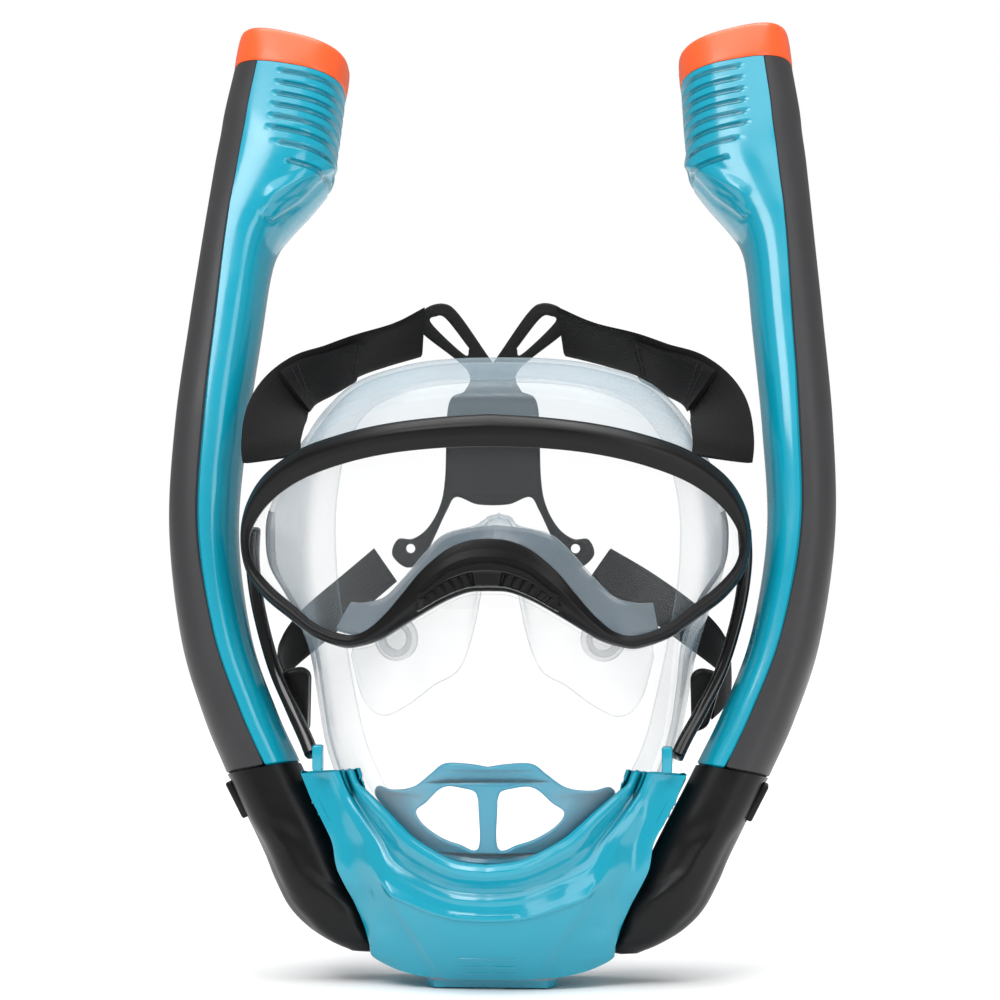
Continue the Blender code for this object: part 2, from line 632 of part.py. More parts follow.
def face_skirt(home):
    thicker = FRAME_THICKNESS - DRAWN_FRAME_THICKNESS
    count = 23
    columns = []
    for k in range(4):
        columns.append(spline([row[k] for row in SKIRT_ROWS], count))
    grid = []
    for k in range(count):
        profile = spline([columns[c][k] for c in range(4)], 6)
        line = [place(*p) for p in profile]
        for number, point in enumerate(line[:4]):
            point.y += thicker * (1.0 - number / 4)
        grid.append(line)
    full = grid + [[mirrored(p, -1) for p in row] for row in grid[-2:0:-1]]
    made = open_surface("face_skirt", full, "silicone", home, wrap_rows=True)
    aim_normals(made, lambda c: Vector((0, c.y, upward(-40))))
    return solidify(made, SKIRT_THICKNESS)


def nose_pocket(home):
    count = 13
    columns = [spline([row[k] for row in POCKET_ROWS], count) for k in range(3)]
    grid = []
    for k in range(count):
        profile = spline([columns[c][k] for c in range(3)], 5)
        grid.append([place(*p) for p in profile])
    full = [[mirrored(p, -1) for p in row] for row in grid[:0:-1]] + grid
    made = open_surface("nose_pocket", full, "milky", home)
    aim_normals(made, lambda c: Vector((0, backward(-30), upward(-60))))
    solidify(made, POCKET_THICKNESS)
    made.modifiers["wall"].use_even_offset = False
    return made


def lower_window(home):
    shares = [math.sin(k / 9 * math.pi / 2) for k in range(10)]
    grid = []
    for share in [-s for s in shares[:0:-1]] + shares:
        column = []
        for k in range(7):
            v = k / 6
            x = abs(share) * 59.6
            z = 0.0
            for _ in range(6):
                high = lower_edge_of_frame(min(x, 60.0)) - 0.9
                deep = chin_rim(x) - 3.0 if x < 44.4 else float(np.interp(x, (44.4, 52), (-91.4, -89.0)))
                z = high + (deep - high) * v
                x = abs(share) * (window_edge(z) - 0.4)
            column.append(place(math.copysign(x, share), window_y(x, z), z))
        grid.append(column)
    made = open_surface("lower_window", grid, "clear", home)
    aim_normals(made, lambda c: Vector((0, 0.05, c.z)))
    return solidify(made, WINDOW_THICKNESS)


def chin_shell(home):
    rays = spline(CHIN_ROWS, 13)
    other_half = [(-r[0], r[1], -r[2], r[3], r[4], -r[5], r[6], r[7]) for r in rays[:0:-1]]
    rays = other_half + [tuple(r) for r in rays]
    steps = (0.0, 0.07, 0.16, 0.25, 0.38, 0.50, 0.60, 0.80, 1.0)
    swell = (0.0, -2.2, -1.6, 1.2, -0.6, -2.6, -0.2, -0.4, 0.0)
    grid = []
    for rim_x, rim_z, out_x, out_z, out_y, back_x, back_y, back_z in rays:
        rim_y = window_y(rim_x, rim_z) - 3.6
        row = []
        for share, bump in zip(steps, swell):
            x = rim_x + (out_x - rim_x) * share
            z = rim_z + (out_z - rim_z) * share
            y = rim_y + (out_y - rim_y) * share ** 2.2 + bump
            row.append(place(x, y, z))
        row.append(place(out_x, (out_y * 0.45 + back_y * 0.55), out_z * 0.5 + back_z * 0.5 - 1.2))
        row.append(place(back_x, back_y, back_z))
        for point in row:
            limit = elbow_inner(point.z) - CHIN_ELBOW_GAP
            if abs(point.x) > limit:
                point.x = math.copysign(limit, point.x)
        grid.append(row)
    made = open_surface("chin_shell", grid, "teal", home)
    aim_normals(made, lambda c: Vector((c.x * 0.6, backward(-10), upward(-95))))
    solidify(made, CHIN_WALL)
    return made


def port_line(side):
    """The line through the port between an elbow and the chin, from inside the chin outward."""
    row = ELBOW_ROWS[5]
    centre = elbow_centre(row)
    inner = centre + Vector((-mm(row[3]), 0, 0))
    away = Vector((-1.0, 0.0, 0.28)).normalized()
    return mirrored(inner + away * 0.009, side), mirrored(inner - away * 0.007, side)


def cylinder(name, radius, start, end, home, sides=20):
    shape = bmesh.new()
    length = (end - start).length
    bmesh.ops.create_cone(
        shape, cap_ends=True, segments=sides, radius1=radius, radius2=radius, depth=length,
        matrix=Matrix.Translation((0, 0, length / 2)))
    mesh = bpy.data.meshes.new(name)
    shape.to_mesh(mesh)
    shape.free()
    made = new_object(name, mesh, None, home)
    made.matrix_world = along(start, end)
    return made


def box(name, size, matrix, home, finish=None, edge=0.0):
    shape = bmesh.new()
    bmesh.ops.create_cube(shape, size=1.0, matrix=Matrix.Diagonal((*size, 1)))
    mesh = bpy.data.meshes.new(name)
    shape.to_mesh(mesh)
    shape.free()
    made = new_object(name, mesh, finish, home)
    made.matrix_world = matrix
    if edge:
        bevel = made.modifiers.new("edges", "BEVEL")
        bevel.width = edge
        bevel.segments = 2
    return made


def snorkel_shares():
    """Shares of the rise at which the snorkel has sections, closer together at the ribs."""
    plain = [0.0, 0.04, 0.09, 0.16, 0.24, 0.33, 0.42, 0.51, 0.60, 0.67, 0.72, 0.755, 0.785, 0.815, 0.84]
    pitch = RIB_PITCH / SNORKEL_RISE
    first = 0.858
    ribs = [first + pitch * 0.5 * k for k in range(2 * RIB_COUNT + 1)]
    return plain, ribs


def snorkel_grids(side, which):
    """Outer and inner points of the teal or the charcoal half of a snorkel."""
    plain, ribs = snorkel_shares()
    shares = plain + ribs + [1.0] if which == "teal" else plain + ribs[::4] + [1.0]
    outer, inner = [], []
    for share in shares:
        centre, half_width, half_depth, tilt, lean, charcoal = tube_row(share)
        front, back = split_angles(charcoal)
        step = SEAM_GAP / 2 / (half_width * 0.8)
        if which == "teal":
            angles = np.linspace(front + step, 2 * math.pi - back - step, 13)
        else:
            angles = np.linspace(-back + step, front - step, 9)
        points = section(centre, half_width, half_depth, tilt, lean, angles, side)
        if which == "teal" and share in ribs and ribs.index(share) % 2:
            heart = mirrored(centre, side)
            for k in range(2, 9):
                points[k] = points[k] + (heart - points[k]).normalized() * RIB_DEPTH
        outer.append(points)
        inner.append(section(centre, half_width - TUBE_WALL, half_depth - TUBE_WALL, tilt, lean, angles, side))
    return outer, inner


def tube_shell(side_name, side, home):
    return thick_surface("tube_shell_" + side_name, *snorkel_grids(side, "teal"), "teal", home)


def tube_cover(side_name, side, home):
    return thick_surface("tube_cover_" + side_name, *snorkel_grids(side, "charcoal"), "charcoal", home)


def tube_cap(side_name, side, home):
    centre, half_width, half_depth, tilt, lean, _ = tube_row(1.0)
    up = head_direction()
    angles = np.linspace(0, 2 * math.pi, 24, endpoint=False)
    rings = []
    for height, grow in ((0.0, 1.0), (0.35, 1.012), (0.80, 1.0), (1.0, 0.955), (1.02, 0.70)):
        middle = centre + up * (GAP + CAP_HEIGHT * height)
        rings.append(section(
            middle, half_width * grow, half_depth * grow, tilt + CAP_WEDGE * height, lean, angles, side))
    made = open_surface("tube_cap_" + side_name, rings, "orange", home, wrap_columns=True, cap_last=True)
    aim_normals(made, lambda c: mirrored(centre - up * 0.01, side))
    solidify(made, CAP_WALL)
    cutters = bpy.data.collections["cutters"]
    back = Vector((0, math.cos(math.radians(lean)), -math.sin(math.radians(lean))))
    for number, shift in enumerate((-0.009, 0.0, 0.009)):
        spot = centre + up * (CAP_HEIGHT * 0.42) + back * half_depth
        spot.x += shift
        spot.z += shift * math.sin(math.radians(tilt))
        turn = Matrix.Rotation(math.radians(-tilt * side), 4, "Y") @ Matrix.Rotation(-math.radians(lean), 4, "X")
        slot = box("cap_slot_" + side_name + str(number), (0.006, 0.010, 0.0032),
                   Matrix.Translation(mirrored(spot, side)) @ turn, cutters)
        cut(made, slot)
    return made


def set_origin(made, point):
    """Moves an object's origin to a point and leaves its shape where it is."""
    made.data.transform(Matrix.Translation(-point))
    made.matrix_world = Matrix.Translation(point)


def head_frame(side, distance):
    """A matrix on the snorkel head's axis, that far below the foot of the cap."""
    up = head_direction()
    top = tube_row(1.0)[0]
    start = mirrored(top - up * distance, side)
    return along(start, start + mirrored(up, side))


def float_cage(side_name, side, home):
    inner = CAGE_RADIUS - CAGE_WALL
    profile = (
        (CAGE_RADIUS, CAGE_HEIGHT), (CAGE_RADIUS, 0.0), (inner - 0.005, 0.0),
        (inner - 0.005, CAGE_WALL), (inner, CAGE_WALL), (inner, CAGE_HEIGHT),
    )
    made = turned("float_cage_" + side_name, profile, "float", home)
    made.matrix_world = head_frame(side, cage_foot())
    return made


def cage_foot():
    """Distance of the cage's foot below the foot of the cap."""
    return CAGE_HEIGHT + SEAT_THICKNESS + 2 * GAP + 0.001


def valve_seat(side_name, side, home):
    profile = (
        (CAGE_RADIUS, SEAT_THICKNESS), (CAGE_RADIUS, 0.0), (SEAT_HOLE + 0.0012, 0.0),
        (SEAT_HOLE, SEAT_THICKNESS * 0.4), (SEAT_HOLE, SEAT_THICKNESS),
    )
    made = turned("valve_seat_" + side_name, profile, "seal", home)
    made.matrix_world = head_frame(side, cage_foot() - CAGE_HEIGHT - GAP)
    return made


def snorkel_float(side_name, side, home):
    room = CAGE_HEIGHT - CAGE_WALL - FLOAT_TRAVEL - 2 * GAP
    edge = 0.002
    profile = (
        (0.0, room), (FLOAT_RADIUS - edge, room), (FLOAT_RADIUS, room - edge),
        (FLOAT_RADIUS, edge), (FLOAT_RADIUS - edge, 0.0), (0.0, 0.0),
    )
    mesh = bpy.data.meshes.new("float_" + side_name)
    mesh.from_pydata([(r, 0.0, h) for r, h in profile], [(k, k + 1) for k in range(5)], [])
    made = new_object("float_" + side_name, mesh, "float", home)
    screw = made.modifiers.new("turn", "SCREW")
    screw.steps = 24
    screw.render_steps = 24
    screw.use_merge_vertices = True
    screw.merge_threshold = 0.00005
    made.matrix_world = head_frame(side, cage_foot() - CAGE_WALL - GAP)
    return made


def spigot_section(distance, inset, side, count=20):
    """Points round the spigot, that far above the seam along its axis, set in from the tube's outside."""
    centre, half_width, half_depth, tilt, lean, _ = tube_row(0.0)
    middle = centre + socket_direction() * distance
    angles = np.linspace(0, 2 * math.pi, count, endpoint=False)
    return section(middle, half_width - inset, half_depth - inset, tilt, lean, angles, side)


def spigot(side_name, side, home):
    """A hollow oval plug, closed as one ring of sections."""
    outer = ELBOW_WALL + SPIGOT_CLEARANCE
    inner = outer + SPIGOT_WALL
    low, high = -SPIGOT_INSERT, SPIGOT_GRIP
    loops = [
        spigot_section(low, outer, side), spigot_section(high, outer, side),
        spigot_section(high, inner, side), spigot_section(low, inner, side),
    ]
    sections = [[loop[k] for loop in loops] for k in range(len(loops[0]))]
    return ring_solid("spigot_" + side_name, sections, "black", home)


def spigot_seal(side_name, side, home):
    inner = ELBOW_WALL + SPIGOT_CLEARANCE - GAP
    outer = ELBOW_WALL + GAP
    low, high = -SPIGOT_INSERT + 0.0035, -SPIGOT_INSERT + 0.0055
    loops = [
        spigot_section(low, outer, side), spigot_section(high, outer, side),
        spigot_section(high, inner, side), spigot_section(low, inner, side),
    ]
    sections = [[loop[k] for loop in loops] for k in range(len(loops[0]))]
    return ring_solid("spigot_seal_" + side_name, sections, "seal", home)


def elbow(side_name, side, home):
    rows = spline(ELBOW_ROWS, 15)
    angles = np.linspace(0, 2 * math.pi, 20, endpoint=False)
    rings = []
    for row in rows:
        rings.append(section(elbow_centre(row), mm(row[3]), mm(row[4]), row[5], row[6], angles, side))
    made = open_surface("elbow_" + side_name, rings, "black", home, wrap_columns=True, cap_last=True)
    aim_normals(made, lambda c: elbow_heart(c, side))
    solidify(made, ELBOW_WALL)
    cutters = bpy.data.collections["cutters"]
    inside, outside = port_line(side)
    cut(made, cylinder("elbow_port_" + side_name, PORT_RADIUS + GAP, inside, outside, cutters))
    window = latch_matrix(side, 0.0)
    cut(made, box("latch_window_" + side_name,
                  (0.014, LATCH_WIDTH + 4 * GAP, LATCH_HEIGHT + 4 * GAP), window, cutters))
    return made


def elbow_heart(point, side):
    """The middle of the elbow at the height of a point."""
    zs = [upward(r[0]) for r in ELBOW_ROWS][::-1]
    xs = [across(r[2]) for r in ELBOW_ROWS][::-1]
    ys = [backward(r[1]) for r in ELBOW_ROWS][::-1]
    x, y = (float(np.interp(point.z, zs, values)) for values in (xs, ys))
    return mirrored(Vector((x, y, point.z)), side)


def latch_matrix(side, outward):
    """A matrix on the elbow's outer wall under the seam: local X is straight out of the wall."""
    down = socket_direction()
    centre, half_width, _, tilt, _, _ = tube_row(0.0)
    wall = centre - down * (LATCH_BELOW_SEAM + LATCH_HEIGHT / 2)
    outer = Vector((math.cos(math.radians(tilt)), 0, math.sin(math.radians(tilt))))
    spot = wall + outer * half_width
    axis_z = Vector((down.x, 0, down.z)).normalized()
    axis_x = Vector((axis_z.z, 0, -axis_z.x))
    spot = spot + axis_x * outward
    turn = Matrix((
        (axis_x.x * side, 0, axis_z.x * side, spot.x * side),
        (0, side, 0, spot.y),
        (axis_x.z, 0, axis_z.z, spot.z),
        (0, 0, 0, 1),
    ))
    return turn


def latch(side_name, side, home):
    lift = LATCH_PROUD - LATCH_THICKNESS / 2
    return box("latch_" + side_name, (LATCH_THICKNESS, LATCH_WIDTH, LATCH_HEIGHT),
               latch_matrix(side, lift), home, "black", 0.0008)


def port_sleeve(side_name, side, home):
    inside, outside = port_line(side)
    length = (outside - inside).length * 0.62
    profile = (
        (PORT_RADIUS, length), (PORT_RADIUS, 0.0),
        (PORT_RADIUS - SLEEVE_WALL, 0.0), (PORT_RADIUS - SLEEVE_WALL, length),
    )
    made = turned("port_sleeve_" + side_name, profile, "seal", home, 20)
    made.matrix_world = along(inside.lerp(outside, 0.19), outside)
    return made


def ribbon(name, route, width, thickness, count, home, side, part=(0.0, 1.0), lift=0.0):
    """A strap along part of a route, its width in the given directions. Its far end goes with the harness."""
    fine = 121
    middles = [place(*m) for m in spline([mid for mid, _ in route], fine)]
    widths = spline([way for _, way in route], fine)
    rings = []
    for share in np.linspace(part[0], part[1], count):
        k = int(round(share * (fine - 1)))
        tangent = (middles[min(k + 1, fine - 1)] - middles[max(k - 1, 0)]).normalized()
        wide = Vector(widths[k])
        wide = (wide - tangent * wide.dot(tangent)).normalized()
        out = tangent.cross(wide).normalized()
        base = middles[k] + out * lift
        half = wide * width / 2
        skin = out * thickness / 2
        ring = (base - half - skin, base - skin, base + half - skin, base + half + skin, base + skin, base - half + skin)
        drift = Vector((HARNESS_DRIFT * (k / (fine - 1)) ** 2, 0, 0))
        rings.append([mirrored(p, side) + drift for p in ring])
    return solid_loft(name, rings, "webbing", home)


def side_strut(side_name, side, home):
    thicker = FRAME_THICKNESS - DRAWN_FRAME_THICKNESS
    centres = [place(*p) for p in spline(STRUT_ROUTE, 13)]
    for k, centre in enumerate(centres):
        centre.y += thicker * max(1.0 - k / 6, 0.0)
    rings = []
    for k, centre in enumerate(centres):
        tangent = (centres[min(k + 1, 12)] - centres[max(k - 1, 0)]).normalized()
        deep = Vector((0, 1, 0)) - tangent * tangent.y
        deep.normalize()
        wide = tangent.cross(deep)
        ring = []
        for u, v in BEVELLED_SQUARE:
            ring.append(mirrored(centre + wide * u * STRUT_WIDTH + deep * v * STRUT_DEPTH, side))
        rings.append(ring)
    return solid_loft("side_strut_" + side_name, rings, "black", home)


def chin_clip(side_name, side, home):
    """A small catch that stands on the chin arm, in front of the strut's foot."""
    spot = place(56.2, -33.2, -87.6) + Vector((0, 0, CLIP_HEIGHT / 2 + GAP))
    size = (0.0034, 0.0046, CLIP_HEIGHT)
    return box("chin_clip_" + side_name, size, Matrix.Translation(mirrored(spot, side)), home, "teal", 0.0006)


def strap_anchor(side_name, side, home):
    corners = ((62.8, -57.0), (66.0, -55.0), (71.6, -56.4), (72.4, -62.0), (68.6, -74.4), (63.2, -76.6))
    rings = []
    for y, grow in ((-6.4, 0.90), (-5.0, 1.0), (1.6, 1.0), (3.0, 0.90)):
        ring = []
        for x, z in corners:
            x = 67.2 + (x - 67.2) * grow
            z = -66.0 + (z + 66.0) * grow
            ring.append(mirrored(place(x, y, z), side))
        rings.append(ring)
    return solid_loft("strap_anchor_" + side_name, rings, "black", home)


def mouth_support(home):
    half = [(across(x), upward(z)) for x, z in spline(SUPPORT_OUTLINE, 36)]
    outline = half + [(-x, z) for x, z in half[-2:0:-1]]
    hole = [(across(x), upward(z)) for x, z in spline(SUPPORT_OPENING + SUPPORT_OPENING[:1], 25)[:-1]]
    other = [(-x, z) for x, z in hole]
    made = plate("mouth_support", (outline, hole, other), 0.0026, "teal_clear", home)
    for vertex in made.data.vertices:
        x, z = vertex.co.x, vertex.co.z
        y = window_y(x / across(1.0), z / upward(1.0))
        slant = (abs(x) / across(39.0)) ** 3
        vertex.co.y += backward(y) + WINDOW_THICKNESS + 0.0013 + 0.0016 + 0.0034 * slant
    return made


def rear_harness(home):
    half = [(across(x), upward(z)) for x, z in HARNESS_OUTLINE]
    outline = half + [(-x, z) for x, z in half[-2:0:-1]]
    slot = [(across(x), upward(z)) for x, z in HARNESS_SLOT]
    angles = np.linspace(0, 2 * math.pi, 10, endpoint=False)
    tab_x, tab_z = across(HARNESS_TAB[0]), upward(HARNESS_TAB[1])
    tab = [(tab_x + TAB_HOLE * math.cos(a), tab_z + TAB_HOLE * math.sin(a)) for a in angles]
    outlines = [outline, slot, [(-x, z) for x, z in slot], tab, [(-x, z) for x, z in tab]]
    made = plate("rear_harness", outlines, HARNESS_THICKNESS, "black_rubber", home)
    made.location.y = backward(HARNESS_Y)
    made.location.x = HARNESS_DRIFT
    return made


def check_spot(side):
    """Centre of a one-way valve on a wing of the nose pocket, and the way it faces."""
    count = 13
    columns = [spline([row[k] for row in POCKET_ROWS], count) for k in range(3)]
    profile = spline([columns[c][8] for c in range(3)], 9)
    spot = place(*profile[6])
    above = place(*profile[5])
    below = place(*profile[7])
    beside = place(*spline([columns[c][9] for c in range(3)], 9)[6])
    facing = (below - above).cross(beside - spot).normalized()
    if facing.y > 0:
        facing = -facing
    return mirrored(spot, side), mirrored(facing, side)


def check_seat(side_name, side, home):
    spot, facing = check_spot(side)
    profile = (
        (CHECK_RADIUS + 0.0014, 0.0018), (CHECK_RADIUS + 0.0014, 0.0),
        (CHECK_RADIUS - 0.0022, 0.0), (CHECK_RADIUS - 0.0022, 0.0018),
    )
    made = turned("check_seat_" + side_name, profile, "seal", home, 20)
    start = spot + facing * CHECK_STANDOFF
    made.matrix_world = along(start, start + facing)
    return made


def check_flap(side_name, side, home):
    spot, facing = check_spot(side)
    mesh = bpy.data.meshes.new("check_flap_" + side_name)
    shape = bmesh.new()
    bmesh.ops.create_cone(shape, cap_ends=True, segments=20, radius1=CHECK_RADIUS, radius2=CHECK_RADIUS - 0.0004,
                          depth=0.0008, matrix=Matrix.Translation((0, 0, 0.0004)))
    shape.to_mesh(mesh)
    shape.free()
    made = new_object("check_flap_" + side_name, mesh, "silicone", home)
    start = spot + facing * (CHECK_STANDOFF + 0.0018 + GAP)
    made.matrix_world = along(start, start + facing)
    return made


def drain_place():
    """Centre of the drain on the chin's underside."""
    return place(0, -24.0, -152.8)


def drain_cover(home):
    """A flat slotted plate under the chin, on which the mask can be set down."""
    def outline(points):
        return [(across(x), backward(y)) for x, y in points]
    outer = outline(((-18.0, -38.0), (18.0, -38.0), (21.0, -33.0), (18.0, -14.0), (-18.0, -14.0), (-21.0, -33.0)))
    slots = []
    for y in (-33.0, -27.0, -21.0):
        slots.append(outline(((-11.5, y - 1.1), (11.5, y - 1.1), (11.5, y + 1.1), (-11.5, y + 1.1))))
    made = plate("drain_cover", [outer] + slots, DRAIN_PLATE, "teal", home)
    turn = Matrix.Rotation(-math.pi / 2, 4, "X")
    made.matrix_world = Matrix.Translation((0, 0, drain_place().z - DRAIN_PLATE / 2 - 0.0006)) @ turn
    return made


def drain_flap(home):
    mesh = bpy.data.meshes.new("drain_flap")
    shape = bmesh.new()
    bmesh.ops.create_cone(shape, cap_ends=True, segments=20, radius1=DRAIN_RADIUS, radius2=DRAIN_RADIUS,
                          depth=0.001, matrix=Matrix.Identity(4))
    shape.to_mesh(mesh)
    shape.free()
    made = new_object("drain_flap", mesh, "silicone", home)
    made.matrix_world = Matrix.Translation(drain_place() + Vector((0, backward(-2.0), 0.0022)))
    return made


def build():
    for old in list(bpy.data.objects):
        bpy.data.objects.remove(old, do_unlink=True)
    home = bpy.data.collections.new("snorkel_mask")
    cutters = bpy.data.collections.new("cutters")
    bpy.context.scene.collection.children.link(home)
    bpy.context.scene.collection.children.link(cutters)
    goggle_frame(home)
    eye_lens(home)
    nose_bridge(home)
    face_skirt(home)
    nose_pocket(home)
    lower_window(home)
    chin = chin_shell(home)
    mouth_support(home)
    rear_harness(home)
    drain_cover(home)
    drain_flap(home)
    for side_name, side in SIDES:
        tube_shell(side_name, side, home)
        tube_cover(side_name, side, home)
        tube_cap(side_name, side, home)
        float_cage(side_name, side, home)
        valve_seat(side_name, side, home)
        snorkel_float(side_name, side, home)
        spigot(side_name, side, home)
        spigot_seal(side_name, side, home)
        elbow(side_name, side, home)
        latch(side_name, side, home)
        port_sleeve(side_name, side, home)
        inside, outside = port_line(side)
        cut(chin, cylinder("chin_port_" + side_name, PORT_RADIUS + GAP, inside, outside, cutters))
        side_strut(side_name, side, home)
        chin_clip(side_name, side, home)
        strap_anchor(side_name, side, home)
        ribbon("upper_strap_" + side_name, UPPER_STRAP, UPPER_STRAP_WIDTH, STRAP_THICKNESS, 31, home, side)
        ribbon("strap_tail_" + side_name, UPPER_STRAP, UPPER_STRAP_WIDTH * 0.86, STRAP_THICKNESS, 11, home, side,
               (11 / 30, 21 / 30), -(STRAP_THICKNESS + 3 * GAP))
        ribbon("lower_strap_" + side_name, LOWER_STRAP, LOWER_STRAP_WIDTH, STRAP_THICKNESS, 13, home, side)
        check_seat(side_name, side, home)
        check_flap(side_name, side, home)
        socket = mirrored(tube_row(0.0)[0], side)
        for piece in ("tube_shell_", "tube_cover_", "tube_cap_", "spigot_", "spigot_seal_"):
            set_origin(bpy.data.objects[piece + side_name], socket)
    cut(chin, cylinder("drain_port", DRAIN_RADIUS + 0.0008, drain_place() + Vector((0, backward(-2.0), 0.012)),
                       drain_place() + Vector((0, backward(-2.0), -0.004)), cutters))


build()
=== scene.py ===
"""Full-face snorkel mask: camera, light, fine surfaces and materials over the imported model."""
import math

import bmesh
import bpy
import numpy as np
from mathutils import Matrix, Vector


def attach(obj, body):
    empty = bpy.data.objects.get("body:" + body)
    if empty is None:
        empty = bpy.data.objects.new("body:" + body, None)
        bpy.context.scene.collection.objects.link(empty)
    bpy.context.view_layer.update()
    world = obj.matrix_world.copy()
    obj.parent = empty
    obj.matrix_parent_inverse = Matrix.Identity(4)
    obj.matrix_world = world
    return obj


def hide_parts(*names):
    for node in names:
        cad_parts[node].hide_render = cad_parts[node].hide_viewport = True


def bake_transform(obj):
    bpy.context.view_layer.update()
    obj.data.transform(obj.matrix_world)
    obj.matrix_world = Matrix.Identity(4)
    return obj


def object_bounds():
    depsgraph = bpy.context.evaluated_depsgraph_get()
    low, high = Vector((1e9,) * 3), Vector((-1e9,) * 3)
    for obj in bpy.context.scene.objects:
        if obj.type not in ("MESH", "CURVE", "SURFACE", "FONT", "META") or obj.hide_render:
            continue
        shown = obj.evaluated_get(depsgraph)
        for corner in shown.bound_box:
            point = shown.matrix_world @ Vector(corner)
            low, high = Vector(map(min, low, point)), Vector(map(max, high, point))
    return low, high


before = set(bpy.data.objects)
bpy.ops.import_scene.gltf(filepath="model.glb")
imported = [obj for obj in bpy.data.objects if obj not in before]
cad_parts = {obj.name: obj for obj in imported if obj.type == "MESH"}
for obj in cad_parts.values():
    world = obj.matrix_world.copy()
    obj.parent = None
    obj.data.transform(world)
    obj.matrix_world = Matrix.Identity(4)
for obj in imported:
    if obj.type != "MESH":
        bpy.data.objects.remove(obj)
cad_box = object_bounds()

MM = 0.001
SIDES = (("right", 1), ("left", -1))

# ---------------------------------------------------------------- camera, light, floor

CAMERA_DISTANCE = 1.2
CAMERA_AZIMUTH = math.radians(4.5)
VIEW_WIDTH = 0.33              # what the picture takes in at the origin
SENSOR = 36.0


def make_camera():
    data = bpy.data.cameras.new("camera")
    camera = bpy.data.objects.new("camera", data)
    bpy.context.scene.collection.objects.link(camera)
    a = CAMERA_AZIMUTH
    camera.location = (CAMERA_DISTANCE * math.sin(a), -CAMERA_DISTANCE * math.cos(a), 0.0)
    camera.rotation_euler = (math.pi / 2, 0.0, a)
    data.sensor_width = SENSOR
    data.lens = SENSOR * CAMERA_DISTANCE / VIEW_WIDTH
    data.clip_start = 0.01
    bpy.context.scene.camera = camera


def area_light(name, place, target, size, power, colour=(1.0, 1.0, 1.0)):
    data = bpy.data.lights.new(name, "AREA")
    data.shape = "RECTANGLE"
    data.size, data.size_y = size
    data.energy = power
    data.color = colour
    lamp = bpy.data.objects.new(name, data)
    bpy.context.scene.collection.objects.link(lamp)
    lamp.location = place
    lamp.rotation_euler = (Vector(target) - Vector(place)).to_track_quat("-Z", "Y").to_euler()


def make_studio():
    scene = bpy.context.scene
    scene.view_settings.view_transform = "Standard"
    world = bpy.data.worlds.new("studio")
    world.use_nodes = True
    tree = world.node_tree
    sky = tree.nodes["Background"]
    sky.inputs["Color"].default_value = (1.0, 1.0, 1.0, 1.0)
    levels = tree.nodes.new("ShaderNodeMapRange")
    levels.inputs["To Min"].default_value = 0.34
    levels.inputs["To Max"].default_value = 1.0
    tree.links.new(tree.nodes.new("ShaderNodeLightPath").outputs["Is Camera Ray"], levels.inputs["Value"])
    tree.links.new(levels.outputs["Result"], sky.inputs["Strength"])
    scene.world = world
    area_light("key", (-0.55, -1.25, 1.10), (0, 0, 0.02), (0.7, 0.7), 10.0)
    area_light("fill", (0.95, -1.15, 0.45), (0, 0, 0), (0.5, 1.2), 5.0)
    area_light("top", (0.0, 0.25, 1.35), (0, 0, 0), (1.2, 0.5), 8.0)
    sun = bpy.data.lights.new("soft_sun", "SUN")
    sun.energy = 2.5
    sun.angle = math.radians(70)
    lamp = bpy.data.objects.new("soft_sun", sun)
    scene.collection.objects.link(lamp)
    lamp.rotation_euler = (math.radians(12), 0, 0)
    low = cad_box_low()
    left, right = [(-4.0, -4.0, low), (-4.0, 4.0, low)], [(4.0, -4.0, low), (4.0, 4.0, low)]
    floor = grid_object("floor", np.array([left, right]))
    floor.data.materials.append(plain_floor())


def cad_box_low():
    return float(min(cad_box[0][2], cad_box[1][2])) - 0.0005


# ---------------------------------------------------------------- node helpers and materials

def new_material(name):
    made = bpy.data.materials.new(name)
    made.use_nodes = True
    tree = made.node_tree
    return made, tree, tree.nodes["Principled BSDF"]


def node(tree, kind, **values):
    made = tree.nodes.new(kind)
    for key, value in values.items():
        if hasattr(made, key):
            setattr(made, key, value)
        else:
            made.inputs[key.replace("_", " ")].default_value = value
    return made


def object_coordinates(tree):
    return tree.nodes.new("ShaderNodeTexCoord").outputs["Object"]


def noise(tree, scale, detail=3.0, vector=None, stretch=None):
    vector = vector or object_coordinates(tree)
    if stretch:
        mapping = tree.nodes.new("ShaderNodeMapping")
        mapping.inputs["Scale"].default_value = stretch
        tree.links.new(vector, mapping.inputs["Vector"])
        vector = mapping.outputs["Vector"]
    made = tree.nodes.new("ShaderNodeTexNoise")
    made.inputs["Scale"].default_value = scale
    made.inputs["Detail"].default_value = detail
    tree.links.new(vector, made.inputs["Vector"])
    return made.outputs["Fac"]


def ramp(tree, factor, low, high, start=0.3, end=0.7):
    """A blend of two colours or levels by a factor."""
    made = tree.nodes.new("ShaderNodeValToRGB")
    made.color_ramp.elements[0].position = start
    made.color_ramp.elements[1].position = end
    made.color_ramp.elements[0].color = (*low, 1.0) if isinstance(low, tuple) else (low, low, low, 1.0)
    made.color_ramp.elements[1].color = (*high, 1.0) if isinstance(high, tuple) else (high, high, high, 1.0)
    tree.links.new(factor, made.inputs["Fac"])
    return made.outputs["Color"]


def bump(tree, shader, height, distance, strength=1.0):
    made = tree.nodes.new("ShaderNodeBump")
    made.inputs["Strength"].default_value = strength
    made.inputs["Distance"].default_value = distance
    tree.links.new(height, made.inputs["Height"])
    tree.links.new(made.outputs["Normal"], shader.inputs["Normal"])
    return made


